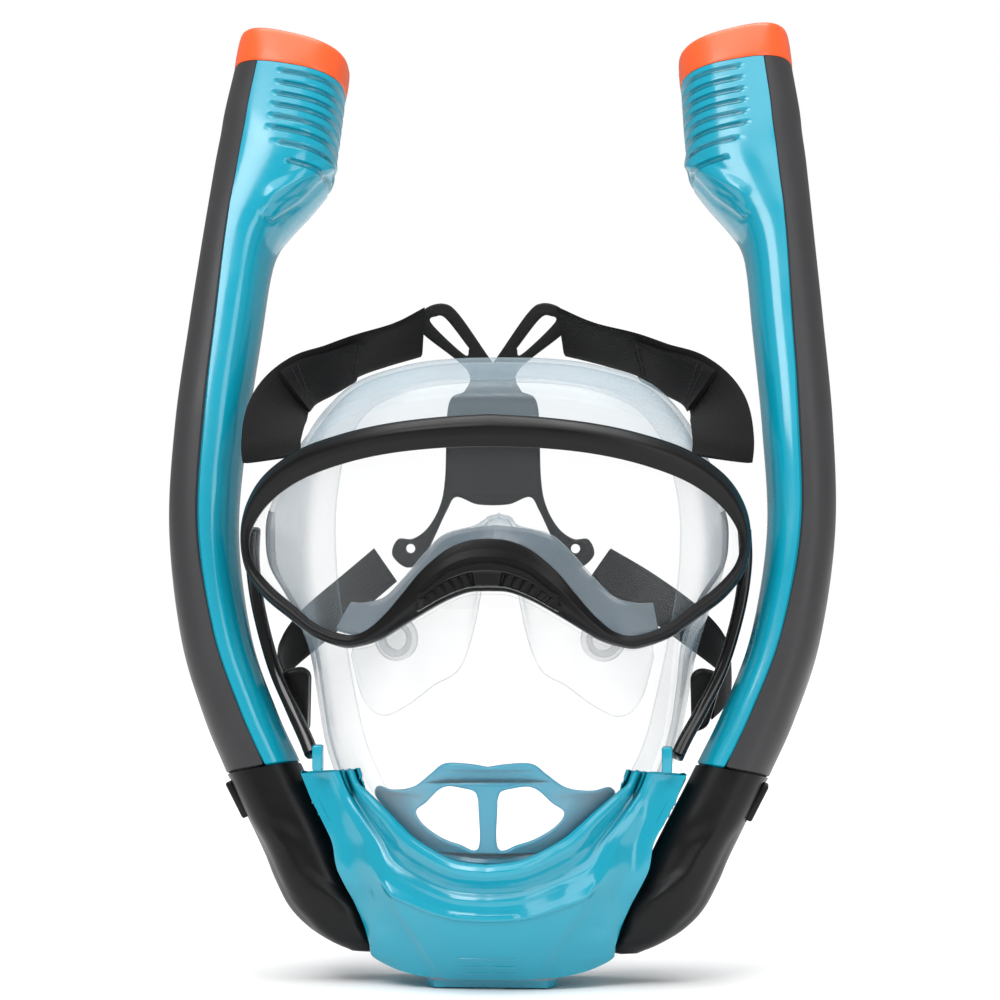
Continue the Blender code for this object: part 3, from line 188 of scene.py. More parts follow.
def moulded(name, colour, roughness, coat=0.0, grain=0.00002, grain_scale=900.0, spread=0.06,
            rough_spread=0.06, hollow_shade=False, shine=0.5):
    """Moulded plastic or rubber: slight drift of colour, uneven gloss and a fine grain; with hollow_shade, painted
    shade in its grooves and creases.
    """
    made, tree, shader = new_material(name)
    dark = tuple(c * (1 - spread) for c in colour)
    light = tuple(min(c * (1 + spread), 1.0) for c in colour)
    tree.links.new(ramp(tree, noise(tree, 18.0), dark, light), shader.inputs["Base Color"])
    low, high = max(roughness - rough_spread, 0.02), roughness + rough_spread
    tree.links.new(ramp(tree, noise(tree, 60.0, 5.0), low, high), shader.inputs["Roughness"])
    shader.inputs["Coat Weight"].default_value = coat
    shader.inputs["Specular IOR Level"].default_value = shine
    shader.inputs["Coat Roughness"].default_value = 0.08
    bump(tree, shader, noise(tree, grain_scale, 2.0), grain)
    # painted shade: the base colour is darkened in grooves and creases, where shade falls
    if hollow_shade:
        paint_hollow_shade(tree, shader)
    return made


def paint_hollow_shade(tree, shader):
    """Painted shade: darkens the colour inside narrow grooves and creases by ambient occlusion, where shade falls."""
    near = tree.nodes.new("ShaderNodeAmbientOcclusion")
    near.inputs["Distance"].default_value = 0.0025
    near.samples = 4
    near.only_local = True
    levels = tree.nodes.new("ShaderNodeMapRange")
    levels.inputs["From Min"].default_value = 0.35
    levels.inputs["From Max"].default_value = 0.85
    levels.inputs["To Min"].default_value = 0.12
    tree.links.new(near.outputs["AO"], levels.inputs["Value"])
    mix = tree.nodes.new("ShaderNodeVectorMath")
    mix.operation = "SCALE"
    tree.links.new(shader.inputs["Base Color"].links[0].from_socket, mix.inputs[0])
    tree.links.new(levels.outputs["Result"], mix.inputs["Scale"])
    tree.links.new(mix.outputs["Vector"], shader.inputs["Base Color"])


def see_through(name, colour, roughness, alpha_front, alpha_edge, ior=1.4, blend=0.45, grain=0.00003):
    """Clear silicone or acrylic: seen through face on, denser and brighter where the wall turns edge on."""
    made, tree, shader = new_material(name)
    dark = tuple(c * 0.86 for c in colour)
    tree.links.new(ramp(tree, noise(tree, 30.0), dark, colour), shader.inputs["Base Color"])
    shader.inputs["Roughness"].default_value = roughness
    shader.inputs["IOR"].default_value = ior
    weight = tree.nodes.new("ShaderNodeLayerWeight")
    weight.inputs["Blend"].default_value = blend
    levels = tree.nodes.new("ShaderNodeMapRange")
    levels.inputs["To Min"].default_value = alpha_front
    levels.inputs["To Max"].default_value = alpha_edge
    tree.links.new(weight.outputs["Facing"], levels.inputs["Value"])
    tree.links.new(levels.outputs["Result"], shader.inputs["Alpha"])
    bump(tree, shader, noise(tree, 220.0, 2.0), grain)
    return made


def woven(name, colour):
    """Webbing: ribs across and along the strap from its own length and width."""
    made, tree, shader = new_material(name)
    uv = tree.nodes.new("ShaderNodeTexCoord").outputs["UV"]
    across = tree.nodes.new("ShaderNodeTexWave")
    across.bands_direction = "X"
    across.inputs["Scale"].default_value = 520.0
    across.inputs["Distortion"].default_value = 0.6
    tree.links.new(uv, across.inputs["Vector"])
    along = tree.nodes.new("ShaderNodeTexWave")
    along.bands_direction = "Y"
    along.inputs["Scale"].default_value = 420.0
    along.inputs["Distortion"].default_value = 0.4
    tree.links.new(uv, along.inputs["Vector"])
    weave = tree.nodes.new("ShaderNodeMath")
    weave.operation = "MULTIPLY"
    tree.links.new(across.outputs["Fac"], weave.inputs[0])
    tree.links.new(along.outputs["Fac"], weave.inputs[1])
    dark = tuple(c * 0.5 for c in colour)
    light = tuple(c * 1.4 for c in colour)
    tree.links.new(ramp(tree, weave.outputs["Value"], dark, light, 0.1, 0.8), shader.inputs["Base Color"])
    shader.inputs["Roughness"].default_value = 0.85
    shader.inputs["Sheen Weight"].default_value = 0.06
    shader.inputs["Sheen Roughness"].default_value = 0.4
    shader.inputs["Specular IOR Level"].default_value = 0.25
    bump(tree, shader, weave.outputs["Value"], 0.00008)
    return made


def plain_floor():
    made, tree, shader = new_material("studio_floor")
    tree.links.new(ramp(tree, noise(tree, 3.0), 0.93, 0.96), shader.inputs["Base Color"])
    shader.inputs["Roughness"].default_value = 0.9
    shader.inputs["Specular IOR Level"].default_value = 0.1
    return made


LOOK = {
    # the teal shell gets painted shade in its grooves and creases (hollow_shade)
    "teal": moulded("teal_gloss", (0.003, 0.300, 0.420), 0.18, coat=0.35, grain=0.000008, grain_scale=500.0,
                    hollow_shade=True),
    "charcoal": moulded("charcoal_satin", (0.036, 0.036, 0.038), 0.42,
        grain=0.00003, grain_scale=1800.0, shine=0.3),
    "orange": moulded("orange_satin", (0.860, 0.105, 0.020), 0.36, coat=0.1, grain=0.00001),
    "black": moulded("black_satin", (0.0045, 0.0045, 0.0050), 0.34, grain=0.00003, grain_scale=1800.0,
                     spread=0.2, shine=0.22),
    "black_gloss": moulded("black_gloss", (0.004, 0.004, 0.0045), 0.12, coat=0.25, grain=0.000006, spread=0.2,
                           shine=0.35),
    "black_rubber": moulded("black_rubber_matte", (0.0055, 0.0055, 0.0062), 0.58,
        grain=0.00004, spread=0.25, shine=0.25),
    "webbing": woven("black_webbing", (0.0050, 0.0050, 0.0058)),
    "stitch": moulded("black_thread", (0.016, 0.016, 0.018), 0.7, grain=0.00005, grain_scale=3000.0,
                      spread=0.3),
    "lens": see_through("lens_clear", (0.90, 0.95, 0.98), 0.02, 0.02, 0.45, ior=1.49, blend=0.25, grain=0.0),
    "window": see_through("window_clear", (0.88, 0.90, 0.91), 0.04, 0.03, 0.45, ior=1.49, blend=0.22,
                          grain=0.0),
    "silicone": see_through("silicone_clear", (0.36, 0.46, 0.52), 0.16, 0.05, 0.72, blend=0.34),
    "lip": see_through("silicone_lip", (0.16, 0.21, 0.25), 0.22, 0.72, 0.95, blend=0.4),
    "smoky": see_through("silicone_valve", (0.30, 0.38, 0.42), 0.2, 0.14, 0.6, blend=0.4),
    # the mouth support gets painted shade in its grooves and creases (hollow_shade)
    "support": moulded("support_teal", (0.004, 0.270, 0.410), 0.22, coat=0.2, hollow_shade=True),
    "seal": moulded("seal_rubber", (0.060, 0.060, 0.064), 0.5),
    "float": moulded("float_plastic", (0.70, 0.70, 0.69), 0.4),
    "flap": moulded("flap_silicone", (0.42, 0.50, 0.54), 0.35),
}

# ---------------------------------------------------------------- mesh helpers


def finish_mesh(name, points, faces, look=None, sharp=42.0, uv=None):
    mesh = bpy.data.meshes.new(name)
    mesh.from_pydata([tuple(p) for p in points], [], faces)
    mesh.validate()
    mesh.update()
    shape = bmesh.new()
    shape.from_mesh(mesh)
    bmesh.ops.remove_doubles(shape, verts=shape.verts, dist=0.000002)
    bmesh.ops.recalc_face_normals(shape, faces=shape.faces)
    shape.to_mesh(mesh)
    shape.free()
    mesh.shade_smooth()
    mesh.set_sharp_from_angle(angle=math.radians(sharp))
    made = bpy.data.objects.new(name, mesh)
    bpy.context.scene.collection.objects.link(made)
    if look:
        mesh.materials.append(LOOK[look])
    return made


def grid_faces(rows, columns, wrap_rows=False, wrap_columns=False, shift=0, flip=False):
    faces = []
    for i in range(rows if wrap_rows else rows - 1):
        for j in range(columns if wrap_columns else columns - 1):
            quad = (
                shift + i * columns + j, shift + i * columns + (j + 1) % columns,
                shift + (i + 1) % rows * columns + (j + 1) % columns, shift + (i + 1) % rows * columns + j,
            )
            faces.append(quad[::-1] if flip else quad)
    return faces


def grid_object(name, grid, look=None, **wrap):
    grid = np.asarray(grid, float)
    return finish_mesh(name, grid.reshape(-1, 3), grid_faces(grid.shape[0], grid.shape[1], **wrap), look)


def grid_normals(grid, wrap_rows=False, wrap_columns=False):
    """Unit normals of a grid of points, by differences along both of its directions."""
    def difference(axis, wrap):
        if wrap:
            return np.roll(grid, -1, axis) - np.roll(grid, 1, axis)
        return np.gradient(grid, axis=axis)
    n = np.cross(difference(0, wrap_rows), difference(1, wrap_columns))
    length = np.linalg.norm(n, axis=2, keepdims=True)
    return n / np.maximum(length, 1e-12)


def thick(name, outer, inner, look, wrap_rows=False, wrap_columns=False, sharp=42.0, rim=0.35):
    """A closed wall between two matching grids, its open borders rounded."""
    outer, inner = np.asarray(outer, float), np.asarray(inner, float)
    rows, columns = outer.shape[:2]
    points = [outer.reshape(-1, 3), inner.reshape(-1, 3)]
    shift = rows * columns
    faces = grid_faces(rows, columns, wrap_rows, wrap_columns)
    faces += grid_faces(rows, columns, wrap_rows, wrap_columns, shift, True)
    borders = []
    if not wrap_rows:
        borders += [(np.arange(columns), 0, 1, wrap_columns)]
        borders += [(np.arange(columns) + (rows - 1) * columns, -1, -2, wrap_columns)]
    if not wrap_columns:
        borders += [(np.arange(rows) * columns, 0, 1, wrap_rows)]
        borders += [(np.arange(rows) * columns + columns - 1, -1, -2, wrap_rows)]
    total = 2 * shift
    flat_outer, flat_inner = points[0], points[1]
    for number, (index, edge, beside, closed) in enumerate(borders):
        across_rows = (not wrap_rows) and number < 2
        edge_points = outer[edge] if across_rows else outer[:, edge]
        next_points = outer[beside] if across_rows else outer[:, beside]
        away = edge_points - next_points
        away /= np.maximum(np.linalg.norm(away, axis=1, keepdims=True), 1e-9)
        wall = np.linalg.norm(flat_outer[index] - flat_inner[index], axis=1, keepdims=True)
        middle = (flat_outer[index] + flat_inner[index]) / 2 + away * wall * rim
        if not closed:
            middle[0] = (flat_outer[index[0]] + flat_inner[index[0]]) / 2
            middle[-1] = (flat_outer[index[-1]] + flat_inner[index[-1]]) / 2
        points.append(middle)
        count = len(index)
        for k in range(count if closed else count - 1):
            a, b = int(index[k]), int(index[(k + 1) % count])
            m, n = total + k, total + (k + 1) % count
            faces.append((a, b, n, m))
            faces.append((m, n, b + shift, a + shift))
        total += count
    made = finish_mesh(name, np.vstack(points), faces, look, sharp)
    return made


def closed_loft(name, rings, look, wrap_rows=False, sharp=42.0):
    rings = np.asarray(rings, float)
    rows, columns = rings.shape[:2]
    faces = grid_faces(rows, columns, wrap_rows, True)
    if not wrap_rows:
        faces.append(tuple(range(columns)))
        faces.append(tuple(range((rows - 1) * columns, rows * columns)))
    return finish_mesh(name, rings.reshape(-1, 3), faces, look, sharp)


def smooth_step(x, low, high):
    t = np.clip((np.asarray(x, float) - low) / (high - low), 0.0, 1.0)
    return t * t * (3 - 2 * t)


def spline(rows, count):
    """count rows read evenly from a smooth curve through the given rows."""
    table = np.array(rows, float)
    shape = table.shape[1:]
    table = table.reshape(len(rows), -1)
    table = np.vstack([2 * table[0] - table[1], table, 2 * table[-1] - table[-2]])
    position = np.linspace(0, len(rows) - 1, count)
    k = np.minimum(position.astype(int), len(rows) - 2)
    t = (position - k)[:, None]
    a, b, c, d = (table[k + shift] for shift in range(4))
    value = b + 0.5 * t * (c - a + t * (2 * a - 5 * b + 4 * c - d + t * (3 * (b - c) + d - a)))
    return value.reshape((count,) + shape)


def fillet(ring, radii, steps=3):
    """Rounds the corners of closed sections (loops x corners x 3), each corner by its own radius."""
    ring = np.asarray(ring, float)
    before = np.roll(ring, 1, axis=1)
    after = np.roll(ring, -1, axis=1)
    radii = np.asarray(radii, float)[None, :, None]

    def toward(other):
        step = other - ring
        length = np.linalg.norm(step, axis=2, keepdims=True)
        return ring + step * np.minimum(radii / np.maximum(length, 1e-9), 0.48)
    start, end = toward(before), toward(after)
    result = []
    for t in np.linspace(0, 1, steps + 1):
        result.append(start * (1 - t) ** 2 + ring * 2 * t * (1 - t) + end * t * t)
    stacked = np.stack(result, axis=2)
    return stacked.reshape(ring.shape[0], -1, 3)


def line_distance(x, z, line):
    """Signed distance in the X-Z plane to a line of points; positive on its left."""
    best = np.full(np.shape(x), 1e9)
    sign = np.ones(np.shape(x))
    for (x0, z0), (x1, z1) in zip(line[:-1], line[1:]):
        dx, dz = x1 - x0, z1 - z0
        length = dx * dx + dz * dz
        t = np.clip(((x - x0) * dx + (z - z0) * dz) / length, 0, 1)
        gap = np.hypot(x - x0 - t * dx, z - z0 - t * dz)
        near = gap < best
        side = np.sign(dx * (z - z0) - dz * (x - x0))
        sign = np.where(near, np.where(side == 0, 1, side), sign)
        best = np.where(near, gap, best)
    return best * sign


def flip_side(grid, side):
    grid = np.array(grid, float)
    grid[..., 0] *= side
    return grid


def settle(made, body, look_slot, *nodes):
    """A finished piece rides on its body and stands for its nodes, which are hidden."""
    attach(made, body)
    if nodes:
        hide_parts(*nodes)
    return made

# ---------------------------------------------------------------- the object's own tables, in millimetres

FRAME_ROWS = (
    (0.0, 27.4, 0.0, 17.0), (16.4, 26.4, 15.5, 16.5), (33.2, 24.4, 32.0, 14.8),
    (48.0, 21.2, 47.0, 11.6), (62.6, 16.2, 61.0, 6.6), (74.2, 8.4, 71.0, 0.2),
    (80.6, -1.0, 77.2, -7.0), (82.8, -11.5, 79.4, -13.8), (81.0, -22.5, 77.6, -21.0),
    (75.0, -31.0, 71.4, -28.0), (66.0, -38.0, 63.4, -34.2), (57.5, -43.8, 56.0, -39.8),
    (47.3, -47.3, 46.6, -43.0), (40.5, -46.6, 40.0, -41.8), (34.8, -44.6, 33.6, -36.6),
    (29.3, -41.3, 28.0, -30.2), (22.0, -36.8, 21.6, -22.6), (13.8, -32.2, 13.8, -16.0),
    (6.4, -29.4, 6.6, -12.9), (0.0, -29.0, 0.0, -12.2),
)
TUBE_ROWS = (
    (0.000, -12.0, 77.0, 11.9, 15.2, -10, 6, 0.60), (0.075, -9.0, 85.1, 11.7, 15.4, -8, 8, 0.59),
    (0.182, -4.0, 93.8, 11.3, 15.5, -5, 10, 0.56), (0.332, 3.0, 99.0, 11.2, 15.5, 0, 12, 0.51),
    (0.482, 11.0, 97.9, 11.7, 15.5, 3, 15, 0.48), (0.632, 22.0, 94.6, 11.9, 15.5, 4, 18, 0.44),
    (0.718, 29.0, 92.6, 11.9, 15.7, 5, 19, 0.41), (0.760, 32.6, 90.9, 12.6, 16.0, 6, 20, 0.38),
    (0.790, 35.4, 88.3, 14.5, 16.5, 7, 20, 0.33), (0.829, 39.0, 84.2, 17.7, 17.0, 8, 20, 0.28),
    (0.865, 42.2, 81.0, 20.0, 17.3, 8, 20, 0.25), (0.900, 45.3, 79.9, 20.0, 17.5, 9, 20, 0.25),
    (0.936, 48.5, 79.0, 20.0, 17.5, 9, 20, 0.25), (1.000, 54.4, 77.2, 19.3, 17.5, 9, 20, 0.25),
)
SEAM_Z = -87.5
SNORKEL_RISE = 231.0
ELBOW_ROWS = (
    (-88.3, -12.14, 76.6, 11.9, 15.2, -10, 6), (-96.0, -13.4, 72.7, 11.9, 15.2, -10, 6),
    (-105.0, -14.9, 68.1, 12.0, 15.2, -10, 6), (-114.0, -16.4, 63.6, 12.1, 15.0, -10, 6),
    (-122.0, -17.6, 60.0, 12.3, 15.0, -9, 6), (-131.0, -19.0, 55.2, 12.2, 14.6, -8, 6),
    (-138.0, -20.0, 50.2, 10.6, 13.4, -6, 6), (-143.2, -20.6, 45.4, 7.6, 10.6, -4, 6),
    (-146.4, -21.0, 42.0, 4.2, 6.4, -2, 6),
)
CHIN_ROWS = (
    (0.0, -114.8, 0.0, -152.8, -42.0, 0.0, -2.0, -146.0),
    (11.1, -113.4, 12.6, -152.8, -41.5, 12.0, -2.0, -146.0),
    (21.9, -108.6, 25.0, -151.8, -39.0, 23.0, -2.0, -145.0),
    (27.6, -104.4, 35.6, -148.2, -33.0, 32.6, -2.0, -141.0),
    (33.2, -99.4, 39.6, -137.6, -32.0, 39.4, -2.0, -132.0),
    (38.4, -95.0, 47.0, -122.6, -32.0, 46.8, -3.0, -119.0),
    (42.6, -91.2, 55.0, -105.4, -31.5, 54.6, -5.0, -104.0),
    (44.4, -87.4, 62.2, -88.4, -30.0, 61.2, -7.0, -91.0),
)
SKIRT_ROWS = (
    ((0, -35.2, 22.8), (0, -22, 39), (0, -2, 47), (0, 7, 40)),
    ((16, -34.6, 22.2), (16, -21, 38.5), (16, -1.5, 46.6), (15, 7.5, 39.5)),
    ((32, -32.4, 20.4), (33, -18.5, 36), (32, 1, 44.5), (29, 9, 37.5)),
    ((47, -28.6, 17.2), (50, -13.5, 30.5), (49.5, 6, 38.5), (44, 14, 31.5)),
    ((60.0, -24.0, 12.0), (62.5, -8, 21.5), (60.5, 14, 26.5), (53, 20.5, 20.5)),
    ((70.0, -19.8, 4.6), (70.5, -1, 9), (66, 21, 10.5), (57, 27, 8)),
    ((74.6, -17.4, -4.0), (73, 3, -4), (68.5, 26, -5), (59, 31, -5)),
    ((75.6, -16.8, -12.5), (73.6, 5, -15), (69, 27.5, -19), (59, 32, -18)),
    ((74.0, -17.6, -22.0), (72.4, 4, -27), (67.5, 26, -32), (58, 31, -30)),
    ((67.0, -21.0, -33.0), (68, 1, -38.5), (65, 24, -44), (56, 29, -42)),
    ((61.6, -8.0, -46.5), (64.0, 5, -50), (62.6, 22, -55), (54, 26.5, -53)),
    ((59.6, -4.6, -62.0), (61.2, 5, -66), (60, 19, -70), (51, 23.5, -67)),
    ((57.2, -4.6, -77.0), (58.2, 4, -82), (56, 16, -86), (47, 20.5, -82)),
    ((52.0, -7.0, -92.5), (52, 1, -97), (48.5, 12, -101), (40.5, 16.5, -95.5)),
    ((42.0, -15.0, -107.0), (42, -5, -112), (39.0, 8, -115.5), (33, 12.5, -109)),
    ((30.0, -22.5, -119.0), (30, -12, -124), (27.5, 5, -127), (23, 9, -119.5)),
    ((15.0, -26.6, -127.0), (15, -16, -132), (13.5, 3.5, -133.5), (11.5, 7.5, -125.5)),
    ((0, -28.0, -130), (0, -18, -135), (0, 3, -136), (0, 7, -128)),
)
POCKET_ROWS = (
    ((0, -33.0, -17.5), (0, -17.0, -7.2), (0, -4.0, -4.2)),
    ((6.0, -32.6, -18.4), (5.8, -16.0, -8.0), (5.4, -3.0, -8.5)),
    ((12.0, -31.8, -21.5), (11.4, -12.0, -9.6), (7.4, -1.0, -33.0)),
    ((18.5, -30.6, -26.6), (17.8, -8.0, -12.4), (12.6, -0.5, -54.0)),
    ((25.0, -28.8, -33.6), (24.0, -5.0, -18.0), (22.0, 0.5, -61.0)),
    ((32.0, -26.4, -40.0), (30.6, -2.4, -25.6), (30.4, 3.0, -67.4)),
    ((40.0, -22.6, -43.4), (37.6, 1.0, -32.8), (39.0, 5.0, -71.2)),
    ((47.4, -18.6, -42.6), (44.6, 5.0, -34.8), (45.6, 7.4, -66.4)),
    ((52.6, -13.6, -41.6), (49.8, 9.0, -34.2), (49.8, 9.8, -52.0)),
)
SUPPORT_OUTLINE = (
    (0.0, -84.4), (5.0, -83.6), (11.4, -83.2), (15.0, -84.0), (18.6, -87.0), (24.5, -91.4),
    (32.0, -93.0), (37.4, -92.4), (39.0, -96.0), (33.6, -101.6), (27.6, -107.0), (21.8, -111.0),
    (15.0, -113.8), (7.5, -115.4), (0.0, -115.8),
)
SUPPORT_OPENING = (
    (3.1, -95.0), (4.2, -92.4), (7.6, -91.4), (12.6, -90.8), (16.0, -92.2), (20.0, -96.2),
    (23.6, -99.4), (21.4, -103.4), (15.4, -107.2), (9.4, -109.2), (3.1, -110.2),
)
HARNESS_Y = 58.0
HARNESS_DRIFT = -7.0
HARNESS_OUTLINE = (
    (0.0, 47.5), (2.2, 50.5), (12.0, 64.5), (17.0, 68.0), (23.0, 66.6), (26.0, 62.0), (24.2, 57.4),
    (9.0, 45.0), (9.6, 38.0), (15.4, 33.0), (16.6, 8.0), (18.4, -2.0), (22.6, -9.6), (27.8, -13.4),
    (33.0, -13.6), (35.0, -19.0), (30.0, -23.4), (24.4, -21.0), (20.6, -13.4), (16.0, -3.6),
    (12.8, 1.0), (6.0, -1.4), (0.0, -1.9),
)
HARNESS_SLOT = ((8.2, 52.4), (16.2, 62.6), (19.8, 63.6), (21.4, 61.2), (10.0, 50.4))
HARNESS_TAB = (28.6, -16.8)
UPPER_STRAP = (
    ((73.5, -17.4, 13.4), (0.93, 0.05, -0.36)), ((73.9, -14.0, 20.4), (0.93, -0.10, -0.20)),
    ((72.3, -5.5, 29.8), (0.85, -0.46, 0.05)), ((66.3, 6.0, 38.4), (0.50, -0.74, 0.40)),
    ((57.6, 18.0, 43.4), (0.28, -0.82, 0.48)), ((47.5, 31.0, 48.8), (0.18, -0.86, 0.46)),
    ((36.0, 43.0, 53.2), (0.12, -0.84, 0.52)), ((24.0, 53.0, 58.0), (0.10, -0.68, 0.70)),
)
LOWER_STRAP = (
    ((69.4, 6.6, -66.5), (0.0, -0.35, 0.93)), ((74.0, 16.0, -62.0), (0.0, -0.35, 0.93)),
    ((75.5, 30.0, -54.5), (0.0, -0.30, 0.94)), ((66.0, 43.0, -44.0), (0.25, -0.10, 0.94)),
    ((50.0, 51.5, -31.5), (0.45, 0.0, 0.88)), ((37.0, 54.4, -22.4), (0.50, 0.0, 0.86)),
)
STRUT_ROUTE = (
    (80.6, -9.6, -9.0), (80.9, -9.2, -21.0), (78.8, -9.8, -36.0), (73.6, -12.6, -54.0),
    (67.0, -17.6, -67.5), (61.8, -22.6, -77.0), (59.0, -25.6, -82.8),
)

# Sizes in millimetres, as the solids have them
GAP, SEAM_GAP = 0.3, 0.5
FRAME_THICKNESS, FRAME_LIP, LENS_REBATE, LENS_CLEARANCE, LENS_THICKNESS = 14.0, 4.0, 1.6, 0.8, 2.0
WINDOW_THICKNESS, SKIRT_THICKNESS, POCKET_THICKNESS = 2.0, 1.6, 1.4
CHIN_WALL, TUBE_WALL, ELBOW_WALL, CAP_WALL, CAP_HEIGHT = 2.2, 2.0, 2.2, 2.0, 12.5
CAP_WEDGE = 4
CORNER_REACH = 2.8
RIB_DEPTH, CHIN_ELBOW_GAP = 1.1, 0.9
STRAP_THICKNESS, UPPER_STRAP_WIDTH, LOWER_STRAP_WIDTH = 1.6, 20.0, 14.0
STRUT_WIDTH, STRUT_DEPTH = 4.5, 6.5


def spline_at(rows, keys):
    table = spline(rows, 40 * len(rows))
    table = table[np.argsort(table[:, 0])]
    return np.stack([np.interp(keys, table[:, 0], table[:, k]) for k in range(table.shape[1])], -1)


def visor_y(x):
    return -50.0 + 22.0 * np.minimum(np.abs(x) / 82.8, 1.05) ** 2.2


def frame_loop(half_count):
    half = spline(FRAME_ROWS, half_count)
    other = half[-2:0:-1] * np.array((-1, 1, -1, 1))
    return np.vstack([half, other])


def lower_edge_of_frame(x):
    rows = spline(FRAME_ROWS, 240)
    rows = rows[(rows[:, 1] < -16) & (rows[:, 0] <= 81.5)]
    rows = rows[np.argsort(rows[:, 0])]
    return np.interp(np.abs(x), rows[:, 0], rows[:, 1])


def window_edge(z):
    return np.interp(-np.asarray(z, float), (45, 62, 77, 92, 107, 120), (60, 58.4, 56.4, 51.6, 42.8, 33.0))


def window_y(x, z):
    middle = np.interp(-np.asarray(z, float), (25, 40, 60, 85, 118), (-46, -49.5, -53, -54.5, -52))
    share = np.minimum(np.abs(x) / window_edge(z), 1.0)
    return middle + (-9.0 - middle) * share ** 2.6


def chin_rim(x):
    return np.interp(np.abs(x), [r[0] for r in CHIN_ROWS], [r[1] for r in CHIN_ROWS])


def elbow_inner(z):
    found = []
    for row in ELBOW_ROWS:
        tilt = math.radians(row[5])
        found.append((row[0] - row[3] * math.sin(tilt), row[2] - row[3] * math.cos(tilt)))
    found.sort()
    return np.interp(z, [f[0] for f in found], [f[1] for f in found])


def sections(centres, half_width, half_depth, tilt, lean, angles, power=2.6):
    """Rounded sections on the +X side, in mm: rows x angles x 3. Angle 0 is outward, 90 degrees forward."""
    centres = np.asarray(centres, float)
    tilt, lean = np.radians(np.atleast_1d(tilt)), np.radians(np.atleast_1d(lean))
    zero = np.zeros_like(tilt)
    outward = np.stack([np.cos(tilt), zero, np.sin(tilt)], -1)[:, None, :]
    forward = np.stack([zero, -np.cos(lean), np.sin(lean)], -1)[:, None, :]
    angles = np.asarray(angles, float)
    if angles.ndim == 1:
        angles = np.repeat(angles[None], len(centres), 0)
    c, s = np.cos(angles), np.sin(angles)
    u = np.sign(c) * np.abs(c) ** (2 / power) * np.reshape(half_width, (-1, 1))
    v = np.sign(s) * np.abs(s) ** (2 / power) * np.reshape(half_depth, (-1, 1))
    return centres[:, None, :] + outward * u[..., None] + forward * v[..., None]


def tube_rows(shares):
    row = spline_at(TUBE_ROWS, np.asarray(shares, float))
    centres = np.stack([row[:, 2], row[:, 1], SEAM_Z + row[:, 0] * SNORKEL_RISE], -1)
    return centres, row[:, 3], row[:, 4], row[:, 5], row[:, 6], row[:, 7]


def split_angles(share):
    found = []
    for part in (share, np.minimum(share + 0.12, 0.62)):
        level = 1 - 2 * part
        found.append(np.arccos(np.sign(level) * np.abs(level) ** 1.3))
    return found


def head_up():
    low, high = tube_rows([0.88, 1.0])[0]
    way = high - low
    return way / np.linalg.norm(way)

# ---------------------------------------------------------------- snorkels


# Grooves on the snorkel head: share of the rise, and where across the front each one starts
GROOVES = (
    (0.9885, 0.10), (0.9712, 0.10), (0.9540, 0.10), (0.9368, 0.10), (0.9194, 0.10), (0.9022, 0.10),
    (0.8815, -0.08), (0.8570, -0.32),
)
HEAD_CREASE = ((80.5, 102.5), (77.9, 104.3), (61.0, 113.6), (58.0, 115.2))
HEAD_LIP = ((88.0, 112.0), (85.6, 103.0), (82.6, 95.5), (78.6, 93.6), (70.0, 100.5), (60.0, 112.0))


def half_tube(which, side_name, side):
    fine = np.linspace(0.845, 1.0, 120)
    shares = np.concatenate([np.linspace(0.0, 0.70, 80), np.linspace(0.705, 0.842, 56), fine])
    centres, width, depth, tilt, lean, charcoal = tube_rows(shares)
    front, back = split_angles(charcoal)
    step = SEAM_GAP / 2 / (width * 0.8)
    columns = 96 if which == "teal" else 40
    t = np.linspace(0, 1, columns)[None]
    if which == "teal":
        low, high = front + step, 2 * math.pi - back - step
    else:
        low, high = -back + step, front - step
    angles = low[:, None] + (high - low)[:, None] * t
    grid = sections(centres, width, depth, tilt, lean, angles)
    inner = sections(centres, width - TUBE_WALL, depth - TUBE_WALL, tilt, lean, angles)
    if which == "teal":
        normals = grid_normals(grid)
        heart = grid - centres[:, None]
        normals *= np.sign((normals * heart).sum(2, keepdims=True))
        push = np.zeros(grid.shape[:2])
        level = np.cos(angles)
        level = np.sign(level) * np.abs(level) ** (2 / 2.6)
        behind = np.sin(angles) < 0
        for share, start in GROOVES:
            across = np.abs(shares[:, None] - share) * SNORKEL_RISE
            cross = np.clip(1 - (across / 0.95) ** 4, 0, 1)
            round_back = 1 - smooth_step(-np.sin(angles), 0.55, 0.85)
            reach = np.where(behind, round_back, smooth_step(start - level, 0.0, 0.13))
            push -= RIB_DEPTH * cross * reach
        x, z = grid[..., 0], grid[..., 2]
        facing = smooth_step(np.sin(angles), -0.35, 0.15)
        crease = line_distance(x, z, HEAD_CREASE)
        ahead = smooth_step(84.0 - x, 0.0, 7.0)
        push += 1.1 * np.clip(1 - np.abs(crease) / 3.6, 0, 1) * ahead * facing
        lip = line_distance(x, z, HEAD_LIP)
        push -= 0.5 * np.clip(1 - (lip / 1.1) ** 2, 0, 1) * facing * smooth_step(84.0 - x, 0, 4)
        below = smooth_step(-z, -104.0, -96.0)
        inside = np.clip(-(level + 0.55), 0, 1)
        push -= 2.6 * inside * (1 - inside) * smooth_step(np.sin(angles), 0.0, 0.4) * below
        grid = grid + normals * push[..., None]
    made = thick("snorkel_%s_%s" % ("shell" if which == "teal" else "cover", side_name),
                 flip_side(grid, side) * MM, flip_side(inner, side) * MM, which)
    node_name = ("tube_shell_" if which == "teal" else "tube_cover_") + side_name
    return settle(made, "snorkel_" + side_name, which, node_name)


